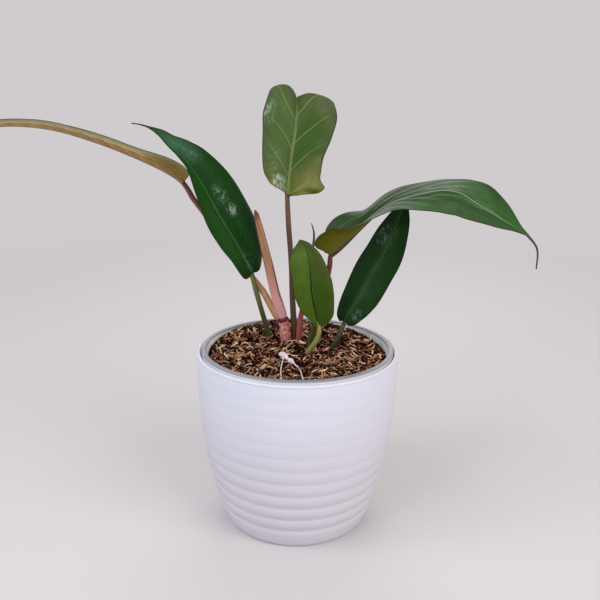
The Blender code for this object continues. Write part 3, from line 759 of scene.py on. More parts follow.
def potting_mix_mesh():
    """The mix that fills the nursery pot, with a rough top."""
    bottom = LINER_FOOT + LINER_WALL + GAP
    shoulder = bottom + 2 * LINER_FILLET
    edge = liner_radius(MIX_EDGE) - GAP
    profile = [(0, bottom), (LINER_BASE_R - 3 * LINER_FILLET, bottom)]
    profile += [(liner_radius(z) - GAP, z) for z in (shoulder, *MIX_WALL)]
    profile += [(edge * (1 - ring / MIX_RINGS), MIX_EDGE) for ring in range(MIX_RINGS + 1)]
    bm = turned(profile, MIX_STEPS)
    for vert in bm.verts:
        if vert.co.z > MIX_EDGE - 0.5:
            x, y = vert.co.xy
            height = mix_height(x, y)
            outer = min(1.0, vert.co.xy.length / edge) ** 4
            grow = (liner_radius(height) - GAP) / edge * outer + (1 - outer)
            vert.co = (x * grow, y * grow, height + mix_grain(x, y))
    return bm


def chip_shape(rng, widths, bend):
    """A splinter of bark 1 long: five cells along, bent, twisted and pointed by chance."""
    bm = bmesh.new()
    bmesh.ops.create_cube(bm, size=1.0)
    along = [edge for edge in bm.edges if abs(edge.verts[0].co.x - edge.verts[1].co.x) > 0.5]
    bmesh.ops.subdivide_edges(bm, edges=along, cuts=4, use_grid_fill=True)
    width = rng.uniform(*widths)
    thin = rng.uniform(0.4, 0.9)
    point = rng.uniform(0.2, 0.85)
    blunt = rng.uniform(1.5, 3.0)
    arch = rng.uniform(-bend, bend) * 0.6
    side = rng.uniform(-bend, bend)
    hook = rng.uniform(-bend, bend)
    twist = rng.uniform(-1.5, 1.5)
    for vert in bm.verts:
        x, y, z = vert.co
        narrow = width * (1 - point * (abs(x) * 2) ** blunt)
        y *= narrow * rng.uniform(0.75, 1.25)
        z *= narrow * thin * rng.uniform(0.75, 1.25)
        vert.co = Matrix.Rotation(twist * x, 3, "X") @ Vector((x, y, z))
        vert.co.y += side * (x * x - 0.1) + hook * x**3
        vert.co.z += arch * (x * x - 0.1)
    bmesh.ops.recalc_face_normals(bm, faces=bm.faces)
    return mesh_of("chip_shape", bm)


def keep_tones(bm, tones):
    """Keep each chip's tone with its vertices. All chips have as many, one chip after another."""
    layer = bm.verts.layers.float.new("tone")
    each = len(bm.verts) // len(tones)
    for index, vert in enumerate(bm.verts):
        vert[layer] = tones[index // each]


def scattered(seed, count, lengths, widths, bend, tilt, lift):
    """Many chips on the potting mix, each with a tone of its own kept with the mesh.

    Widths are shares of the length, and lift is how far above the mix a chip's middle may be.
    """
    rng = random.Random(seed)
    shapes = [chip_shape(rng, widths, bend) for _ in range(CHIP_SHAPES)]
    reach = liner_radius(MIX_EDGE) - CLEAR_WALL
    clear = kept_clear()
    bm = bmesh.new()
    tones = []
    while len(tones) < count:
        spot = Vector((rng.uniform(-reach, reach), rng.uniform(-reach, reach)))
        length = lengths[0] + (lengths[1] - lengths[0]) * rng.random() ** CHIP_POWER
        shape = rng.choice(shapes)
        turn = Matrix.Rotation(rng.uniform(0, math.tau), 4, "Z")
        lean = Matrix.Rotation(rng.uniform(-tilt, tilt), 4, "Y")
        roll = Matrix.Rotation(rng.uniform(-CHIP_ROLL, CHIP_ROLL), 4, "X")
        tone = rng.random()
        up = rng.uniform(*lift)
        near = any((spot.x - x) ** 2 + (spot.y - y) ** 2 < r * r for x, y, r in clear)
        if near or spot.length + length * CHIP_INSIDE > reach:
            continue
        height = mix_height(*spot) + mix_grain(*spot) + up
        copy = shape.copy()
        size = Matrix.Scale(length, 4)
        copy.transform(Matrix.Translation((*spot, height)) @ turn @ (lean @ roll) @ size)
        take_in(bm, copy)
        tones.append(tone)
    keep_tones(bm, tones)
    return bm


def kept_clear():
    """Places (x, y, radius) where no loose chip is laid: round the stems' feet and under the root."""
    feet = [rows[0] for rows in (*STALKS.values(), STEM, SIDE_SHEATH)]
    clear = [(x, y, radius + CLEAR_FOOT) for x, y, z, radius in feet if z < MIX_EDGE]
    for rows in (ROOT_MAIN, ROOT_BRANCH):
        path = Smooth.along(rows)
        clear += [(*path.at(step / CLEAR_STEPS)[:2], CLEAR_ROOT) for step in range(CLEAR_STEPS + 1)]
    return clear


def soil(colour):
    """Dark, crumbly compost."""
    surface = Surface("soil", Roughness=0.95, Specular_IOR_Level=0.0)
    place = surface.place()
    patches = place.noise(60.0, 5.0, 0.65).step(0.35, 0.65)
    crumbs = place.noise(520.0, 4.0, 0.7)
    return surface.paint(
        Base_Color=layered(
            colour, (patches, tint(40, 18, 12)), (crumbs.step(0.6, 0.72), tint(84, 50, 36))),
        Normal=(crumbs + place.noise(1400.0, 3.0) * 0.5).bump(0.0006))


def bark(name, dark, middle, pale):
    """Split bark and wood: one tone a chip, with fine grain over it."""
    surface = Surface(name, Roughness=0.85, Specular_IOR_Level=0.05)
    place = surface.place()
    tone = surface.attribute("tone")
    grain = place.stretched(1.0, 1.0, 2.0).noise(900.0, 4.0, 0.65)
    stain = place.noise(140.0, 3.0)
    return surface.paint(
        Base_Color=layered(
            dark, (tone.step(0.0, 0.55), middle), (tone.step(0.5, 1.0) * 0.9, pale),
            (stain.step(0.5, 0.75) * 0.5, dark), (grain.step(0.5, 0.72) * 0.45, toned_down(dark, 0.45))),
        Normal=grain.bump(0.0003))


def large_chip(chip, rng):
    """One of the large chips: split, tapered and slightly arched."""
    x, y, length, width, turn = chip
    bm = bmesh.new()
    bmesh.ops.create_cube(bm, size=1.0)
    bmesh.ops.subdivide_edges(bm, edges=bm.edges[:], cuts=5, use_grid_fill=True)
    for vert in bm.verts:
        along, across, up = vert.co
        frayed = 2 if abs(along) > 0.4 else 0.4
        ragged = 1 + 0.18 * noise.noise(Vector((across * 5, up * 5, x))) * frayed
        taper = 1 - 0.5 * (along + 0.5) ** 2
        thin = 1 - 0.5 * abs(along)
        vert.co = (along * length * ragged, across * width * taper, up * CHIP_HEIGHT * thin)
        vert.co.z += 0.22 * noise.noise(Vector((along * 4, across * 9, y))) - 0.6 * along * along
    bm.transform(Matrix.Rotation(math.radians(rng.uniform(-9, 9)), 4, "X"))
    bm.transform(Matrix.Rotation(math.radians(turn), 4, "Z"))
    bm.transform(Matrix.Translation((x, y, mix_height(x, y) + CHIP_LIFT)))
    return mesh_of("large_chip", bm)


# ---- stalks


def stalk_shape(channel):
    """A stalk's cross-section: a channel down its front, and a swelling at its foot."""
    def shape(turn, place):
        front = max(0.0, math.sin(turn)) ** 6
        swell = STALK_SWELL * (1 - eased(place, 0.0, STALK_FOOT))
        return 1 + swell - channel * front * eased(place, 0.02, 0.2) * (1 - eased(place, 0.9, 1.0))
    return shape


def stalk_skin(name, low, high, stripe, fleck):
    """A stalk's skin: one colour at the foot and one at the blade, with fine stripes and flecks."""
    surface = Surface(name, Specular_IOR_Level=0.4)
    along = surface.unwrapped()
    place = surface.place()
    fibres = along.stretched(26.0, 3.0, 1.0).noise(1.0, 4.0, 0.6)
    rise = along.part("Y") + (place.noise(130.0, 3.0) - 0.5) * 0.5
    marks = 1 - place.stretched(1.0, 1.0, 0.45).spots(650.0).step(0.12, 0.3)
    return surface.paint(
        Base_Color=layered(
            low, (rise.step(0.1, 0.9), high), (fibres.step(0.5, 0.72) * 0.6, stripe),
            (marks * 0.55, fleck)),
        Roughness=0.32 + fibres * 0.2,
        Normal=fibres.bump(0.0002))


def seated(rows, blade):
    """A stalk's rows, carried on into the keel of its leaf."""
    radius = rows[-1][3]
    facing = blade.row(0.0)[3]
    rise = (Vector(rows[-1][:3]) - Vector(rows[-2][:3])).normalized()
    behind = facing * (radius + GROOVE) * (1 - abs(rise.dot(facing)))
    bend, top = [Vector(row[:3]) - behind * share for row, share in zip(rows[-2:], STALK_SETBACK)]
    near, *deeper = [(blade.seat(walk, depth), radius * share) for walk, depth, share in STALK_SEAT]
    points = [(bend, rows[-2][3]), (top, radius), (near[0] - behind, near[1]), *deeper]
    return (*rows[:-2], *[(*point, thick) for point, thick in points])


# Each stalk's slot, its colours at foot and blade, and those of its stripes and flecks.
STALK_LOOKS = {
    "long_left_stalk": (
        "stalk_red", tint(196, 146, 104), tint(98, 42, 44), tint(190, 150, 108), tint(110, 60, 44)),
    "dark_left_stalk": (
        "stalk_green", tint(50, 62, 24), tint(96, 98, 44), tint(118, 122, 62), tint(44, 44, 22)),
    "tall_back_stalk": (
        "stalk_red", tint(82, 66, 34), tint(96, 62, 50), tint(160, 124, 106), tint(50, 28, 24)),
    "long_right_stalk": (
        "stalk_red", tint(58, 60, 26), tint(98, 44, 38), tint(120, 84, 62), tint(44, 26, 20)),
    "small_front_stalk": (
        "stalk_green", tint(116, 114, 56), tint(134, 130, 62), tint(176, 170, 112), tint(92, 74, 44)),
    "dark_right_stalk": (
        "stalk_green", tint(30, 40, 18), tint(66, 66, 28), tint(84, 84, 42), tint(26, 24, 14)),
}


def stem_shape(turn, place):
    """The main stem's rings and wrinkles, with a collar where the last leaf left it."""
    wrinkles = noise.noise(Vector((math.cos(turn) * 2.2, math.sin(turn) * 2.2, place * 7)))
    waves = STEM_FOLDS * math.sin(place * 46 + 2.0 * math.sin(turn * 2 + 1))
    collar = STEM_COLLAR * eased(place, 0.91, 0.94) * (1 - eased(place, 0.97, 1.0))
    return 1 + STEM_WRINKLES * wrinkles + waves * (1 - eased(place, 0.8, 0.9)) + collar


def stem_skin():
    """Pinkish red skin, mottled, with darker wrinkles and a crimson collar."""
    surface = Surface("stem_skin", Specular_IOR_Level=0.4)
    place = surface.place()
    along = surface.unwrapped().part("Y")
    mottle = place.noise(420.0, 4.0, 0.6)
    rings = place.stretched(1.0, 1.0, 3.0).noise(330.0, 3.0, 0.6)
    collar = along.step(0.905, 0.935)
    return surface.paint(
        Base_Color=layered(
            tint(190, 96, 94), (mottle.step(0.35, 0.65), tint(232, 166, 156)),
            (rings.step(0.55, 0.68) * 0.7, tint(134, 32, 44)), (collar, tint(92, 16, 34))),
        Roughness=0.35 + mottle * 0.25,
        Normal=(rings * 0.6 + mottle * 0.4).bump(0.0006))


def rolled_shape(turn, place):
    """The new leaf's rolled blade: the outer layer's edge runs up its front right."""
    lap = (ROLL_EDGE + ROLL_LEAN * place - turn / math.tau) % 1.0
    ridge = ROLL_STEP * (1 - eased(lap, 0.0, 0.35)) * eased(place, 0.05, 0.2)
    return 1 + ridge + ROLL_RIPPLE * noise.noise(Vector((math.cos(turn), math.sin(turn), place * 9)))


def rolled_skin():
    """The new leaf: pink at its foot, salmon and tan above and dark red at its tip, with painted shadow
    at its lap.
    """
    surface = Surface("rolled_skin", Specular_IOR_Level=0.35)
    unwrapped = surface.unwrapped()
    along = unwrapped.part("Y")
    place = surface.place()
    fibres = unwrapped.stretched(30.0, 2.0, 1.0).noise(1.0, 4.0, 0.6)
    broad = unwrapped.stretched(9.0, 0.8, 1.0).noise(1.0, 2.0, 0.5)
    dull = broad.step(0.5, 0.66) * along.step(0.1, 0.5) * 0.7
    lap = (ROLL_EDGE - unwrapped.part("X") + ROLL_LEAN * along).fraction()
    # Painted shadow: the inner layer is darker in a strip beside the outer layer's edge.
    under = lap.step(0.86, 0.97) * (0.35 + 0.5 * along.step(0.05, 0.3))
    marks = 1 - place.spots(260.0).step(0.05, 0.13)
    return surface.paint(
        Base_Color=layered(
            tint(238, 174, 186), (along.step(0.04, 0.34), tint(222, 158, 146)),
            (along.step(0.22, 0.62), tint(166, 120, 90)), (along.step(0.9, 0.97), tint(112, 30, 38)),
            (dull, tint(112, 74, 52)), (fibres.step(0.5, 0.7) * 0.45, tint(158, 96, 84)),
            (under, tint(112, 60, 52)), (lap.step(0.03, 0.0) * 0.5, tint(222, 178, 160)),
            (marks * 0.6, tint(96, 44, 40))),
        Roughness=0.36 + fibres * 0.2,
        Normal=fibres.bump(0.0003))


def sheath_skin():
    """The side sheath: pinkish brick red at its foot, drying to dark red brown at its tip."""
    surface = Surface("sheath_skin", Roughness=0.5, Specular_IOR_Level=0.35)
    unwrapped = surface.unwrapped()
    fibres = unwrapped.stretched(24.0, 3.0, 1.0).noise(1.0, 4.0, 0.6)
    return surface.paint(
        Base_Color=layered(
            tint(160, 78, 70), (unwrapped.part("Y").step(0.15, 0.6), tint(86, 48, 46)),
            (fibres.step(0.48, 0.7) * 0.6, tint(108, 42, 38))),
        Normal=fibres.bump(0.0003))


def lying(rows):
    """Rows of (x, y, clearance, radius) as points on the potting mix."""
    return [(x, y, mix_height(x, y) + ROOT_CLEAR + up, radius) for x, y, up, radius in rows]


def root_shape(turn, place):
    """Small knots along the air root."""
    around = Vector((math.cos(turn) * 0.7, math.sin(turn) * 0.7, place * 34))
    return 1 + ROOT_KNOTS * noise.noise(around)


def root_skin():
    """Pale, slightly waxy root."""
    surface = Surface("root_skin", Roughness=0.5, Subsurface_Weight=0.15, Subsurface_Scale=0.001)
    place = surface.place()
    mottle = place.noise(600.0, 4.0, 0.6)
    return surface.paint(
        Base_Color=mottle.step(0.4, 0.7).mix(tint(226, 216, 222), tint(186, 168, 170)),
        Normal=mottle.bump(0.0003))


# ---- leaves

# How each blade is finished: (sheet thickness, keel height, keel half width), the side veins'
# (spacing, rise from rib to margin, bow, relief, place of the first on the left, on the right), the
# margin's (wave height, wave length) and the base's (length of its round corners, half width between
# them, where the stalk is).
LEAF_FORMS = {
    "long_left_leaf": ((0.5, 2.4, 2.2), (11, 60, 0.8, 0.25, 0.0, 0.5), (0.5, 26), (3.0, 2.2)),
    "dark_left_leaf": ((0.5, 1.5, 1.7), (9, 30, 0.8, 0.04, 0.0, 0.5), (0.5, 30), (5.0, 3.0)),
    "tall_back_leaf": ((0.5, 1.6, 1.6), (19, 26, 0.85, 0.3, 0.43, 0.22), (0.6, 24), (3.0, 1.6)),
    "long_right_leaf": ((0.5, 1.7, 1.7), (21, 66, 0.7, 0.16, 0.3, 0.5), (0.8, 34), (3.0, 1.7)),
    "small_front_leaf": ((0.45, 1.0, 1.1), (8, 20, 0.85, 0.03, 0.0, 0.5), (0.3, 22), (2.6, 2.8)),
    "dark_right_leaf": ((0.5, 1.2, 1.2), (10, 26, 0.85, 0.04, 0.0, 0.5), (0.6, 26), (4.5, 2.8)),
}
KEEL_TIP = 0.15
GROOVE = 0.3
GROOVE_HALF = 0.8
EDGE_THIN = 0.4
VEIN_START = (0.05, 0.3)
VEIN_FULL_WIDTH = 12
WAVE_FULL_WIDTH = 10
WAVE_LAYER = 3.7
ALMOST_FLAT = 1e-4
FLARE_ACROSS = (0.1, 0.95)
FLARE_END = 0.045


class Blade:
    """A leaf's surface: place runs from base to tip, and across from the left margin, -1, to 1."""

    def __init__(self, name):
        shape = LEAVES[name]
        self.rib = Smooth.along(shape["rib"])
        self.lie = Smooth.keyed(shape["lie"])
        self.lobes = shape["lobes"]
        self.thickness, self.veins, self.wave, (self.corner, self.neck) = LEAF_FORMS[name]
        self.flare = shape.get("flare", 0.0)

    def row(self, place):
        """What all points at one place along the rib share."""
        x, y, z, left, right = self.rib.at(place)
        facing_x, facing_y, facing_z, left_in, left_out, right_in, right_out = self.lie.at(place)
        ahead = self.rib.ahead(place)
        side = ahead.cross(Vector((facing_x, facing_y, facing_z))).normalized()
        halves = ((left, left_in, left_out, self.lobes[0]), (right, right_in, right_out, self.lobes[1]))
        return Vector((x, y, z)), ahead, side, side.cross(ahead), halves

    def trimmed(self, place, across):
        """The across that rounds off the base's corners and leaves the neck's width at the stalk."""
        left, right = self.rib.at(0.0)[3:]
        low = min(1.0, self.neck / (right if across > 0 else left))
        share = min(1.0, place * self.rib.length / self.corner)
        return across * (low + (1 - low) * math.sqrt(1 - (1 - share) ** 2))

    def point(self, row, place, across):
        """A point of the smooth blade."""
        start, ahead, side, facing, halves = row
        width, inner, outer, lobe = halves[across > 0]
        reach = abs(across)
        inner = math.radians(inner)
        bend = math.radians(outer) - inner + ALMOST_FLAT
        outwards = (math.sin(inner + bend * reach) - math.sin(inner)) / bend * width
        upwards = (math.cos(inner) - math.cos(inner + bend * reach)) / bend * width
        back = lobe * reach**2 * max(0.0, 1 - place / LOBE_SPAN) ** 2
        bulge = math.sin(math.pi * eased(across, *FLARE_ACROSS))
        upwards += self.flare * bulge * eased(place, FLARE_END, 0.0)
        height, length = self.wave
        layer = math.copysign(WAVE_LAYER, across)
        run = Vector((place * self.rib.length / length, layer, self.rib.length))
        upwards += height * noise.noise(run) * reach**2 * min(1.0, width / WAVE_FULL_WIDTH)
        return start + side * math.copysign(outwards, across) + facing * upwards - ahead * back

    def relief(self, row, place, across):
        """How far veins and the rib's groove lift the upper side, at a point of the blade."""
        width = row[4][across > 0][0]
        reach = abs(across)
        spacing, rise, bow, height, *firsts = self.veins
        phase = (place * self.rib.length - rise * reach**bow) / spacing + firsts[across > 0]
        quilt = -height * math.cos(math.tau * phase) * math.sin(math.pi * min(reach, 1.0)) ** 0.7
        groove = GROOVE * math.exp(-((reach * width / GROOVE_HALF) ** 2)) * (1 - place)
        return quilt * min(1.0, width / VEIN_FULL_WIDTH) * eased(place, *VEIN_START) - groove

    def depth(self, row, place, across):
        """The blade's thickness at a point, with the keel under its rib."""
        sheet, keel, half = self.thickness
        width = row[4][across > 0][0]
        size = 1 - eased(place, 0.0, 1.0) * (1 - KEEL_TIP)
        off = abs(across) * width / (half * size)
        ridge = keel * size * math.sqrt(max(0.0, 1 - off * off))
        return sheet * (1 - EDGE_THIN * abs(across) ** 6) + ridge

    def seat(self, walk, share):
        """A point in the keel, a walk in millimetres from the base and a share of its depth down."""
        place = walk / self.rib.length
        row = self.row(place)
        return self.point(row, place, 0.0) - row[3] * self.depth(row, place, 0.0) * share


def leaf_mesh(blade):
    """A blade's upper side: a grid, finer at the rib and the base, with its depth as a weight."""
    rows = round(blade.rib.length / LEAF_CELL)
    bm = bmesh.new()
    bmesh.ops.create_grid(bm, x_segments=LEAF_COLUMNS, y_segments=rows, size=1.0)
    unwrap = bm.loops.layers.uv.new("blade")
    weights = bm.verts.layers.deform.verify()
    spots = {}
    frames = {}
    for vert in bm.verts:
        share = (vert.co.y + 1) / 2
        place = (1 - ENDS_CROWDING) * share + ENDS_CROWDING / 2 * (1 - math.cos(math.pi * share))
        key = round(share * rows)
        if key not in frames:
            frames[key] = blade.row(place)
        across = blade.trimmed(place, vert.co.x * (1 - RIB_CROWDING + RIB_CROWDING * vert.co.x**2))
        spots[vert.index] = (frames[key], place, across)
    for face in bm.faces:
        for loop in face.loops:
            _, place, across = spots[loop.vert.index]
            loop[unwrap].uv = ((across + 1) / 2, place)
    for vert in bm.verts:
        vert.co = blade.point(*spots[vert.index])
    bm.normal_update()
    lifts = [vert.normal * blade.relief(*spots[vert.index]) for vert in bm.verts]
    deepest = sum(blade.thickness[:2])
    for vert, lift in zip(bm.verts, lifts):
        vert.co += lift
        vert[weights][0] = blade.depth(*spots[vert.index]) / deepest
    return bm


def leaf(name, materials):
    """A leaf: the upper side's mesh, given its depth on the underside."""
    blade = Blade(name)
    piece = finished(name + "_blade", leaf_mesh(blade), materials, [name], smooth=60.0)
    piece.vertex_groups.new(name="depth")
    solid = piece.modifiers.new("depth", "SOLIDIFY")
    solid.thickness = sum(blade.thickness[:2]) * MM
    solid.offset = -1.0
    solid.vertex_group = "depth"
    solid.material_offset = 1
    return piece


def patch(along, across, spot):
    """1 in the middle of a soft spot of (place, across, half length, half width) and 0 outside it."""
    place, side, half_length, half_width = spot
    return (1 - ((along - place) / half_length) ** 2 - ((across - side) / half_width) ** 2).clamped()


def spotted(value, spots, along, across):
    """A value with soft spots of (place, across, half length, half width, strength) added to it."""
    for *spot, strength in spots:
        value = value + patch(along, across, spot) * strength
    return value


def leaf_ground(side, along, across, drift):
    """A leaf side's colours without veins: halves, base, tip, margin, bands, patches, fold and painted
    crease shade.
    """
    reach = abs(across)
    low, high = side["base_span"]
    ground = layered(
        side["left"], ((across + drift * 0.2).step(-0.12, 0.12), side["right"]),
        ((along + drift * 0.12).step(high, low), side["base"]),
        ((along + drift * 0.1).step(0.78, 0.98), side["tip"]),
        ((reach + drift * 0.3).step(0.62, 0.95) * side["edges"], side["edge"]))
    for base, tip, half, colour, strength in side["bands"]:
        band = 1 - abs(reach + drift * 0.1 - base - along * (tip - base)) / half
        ground = (band.clamped() * strength).mix(ground, colour)
    for *spot, colour, strength in side["patches"]:
        ground = (patch(along, across, spot) * strength).mix(ground, colour)
    if "fold" in side:
        # The flared base: its fold's colour, a painted shade in the crease between fold and blade, and
        # the corner's colour.
        outer = across.step(0.3, 0.6)
        crease = along.step(0.016, 0.026) * along.step(0.05, 0.032) * outer * across.step(1.0, 0.8)
        ground = layered(
            ground, (along.step(0.055, 0.025) * outer, side["fold"]), (crease * 0.75, side["crease"]),
            (along.step(0.07, 0.03) * (-across).step(0.55, 0.9), side["corner"]))
    return ground


def leaf_skin(name, leaf_name, side):
    """One side of a leaf: its ground with mottling, veins, rib, flecks, gloss, painted sheen and margin.
    """
    surface = Surface(name, Specular_IOR_Level=side["shine"], Coat_Roughness=0.25)
    unwrapped = surface.unwrapped()
    place = surface.place()
    across = unwrapped.part("X") * 2 - 1
    along = unwrapped.part("Y")
    reach = abs(across)
    drift = place.noise(40.0, 2.0) - 0.5

    spacing, rise, bow, _, left, right = LEAF_FORMS[leaf_name][1]
    length = Blade(leaf_name).rib.length
    first = (across > 0) * (right - left) + left
    phase = (along * length - rise * reach ** bow) / spacing + first + drift * reach * 0.25
    near = abs(phase.fraction() - 0.5)
    veins = near.step(0.5 - 0.9 / spacing, 0.5 - 0.25 / spacing) * reach.step(1.0, 0.3)
    hair = abs((phase * 4).fraction() - 0.5).step(0.36, 0.5)

    tone = place.noise(38.0, 3.0) * 0.6 + place.noise(150.0, 3.0) * 0.4
    rib_half = side["rib_half"] * (1 - along * 0.6)
    flecks = place.spots(330.0).step(0.13, 0.05) * place.noise(90.0, 2.0).step(0.5, 0.62)
    skin = layered(
        leaf_ground(side, along, across, drift),
        (tone.step(0.36, 0.66) * side["mottle"], side["shade"]),
        (((veins + hair * 0.14) * side["veins"]).clamped(), side["vein"]),
        (reach.step(rib_half, rib_half * 0.5) * 0.9, side["rib"]),
        (flecks * side["flecks"], side["fleck"]))

    # The film of wet spots, a glossy coat with a painted sheen, starts from a wire of 0: most sides have
    # none.
    ripples = place.stretched(1.0, 1.0, 0.6).noise(480.0, 4.0, 0.75).step(0.45, 0.62)
    film_and_painted_sheen = (spotted(along * 0.0, side["wet"], along, across) * ripples).clamped()
    grain = (place.noise(110.0, 4.0) - 0.5) * 0.3 + side["rough"]
    rough = spotted(grain, side["dry"], along, across).clamped()
    relief = place.spots(1300.0) * 0.2 - hair * side["hair"] + place.noise(260.0, 3.0) * 0.8
    return surface.paint(
        Base_Color=layered(
            # Painted sheen: a pale teal tint in the base colour where the wet film lies, besides its
            # glossy coat.
            skin, (film_and_painted_sheen * 0.2, tint(120, 172, 150)),
            ((reach + drift * 0.03).step(0.962, 0.985), side["margin"])),
        Roughness=rough,
        Coat_Weight=film_and_painted_sheen,
        Normal=relief.bump(0.00018))


def look(left, right, base, tip, edge, margin, rib, vein, **changes):
    """The look of one side of a leaf: its colours, with the amounts that most sides share."""
    shared = {
        "left": left, "right": right, "base": base, "tip": tip, "edge": edge, "margin": margin,
        "rib": rib, "vein": vein, "shade": toned_down(left, 0.62), "fleck": vein,
        "base_span": (0.0, 0.12), "edges": 0.5, "mottle": 0.5, "veins": 0.6, "hair": 0.5,
        "rib_half": 0.06, "flecks": 0.6, "shine": 0.25, "rough": 0.4, "bands": (),
        "patches": (), "dry": (), "wet": ()}
    return {**shared, **changes}


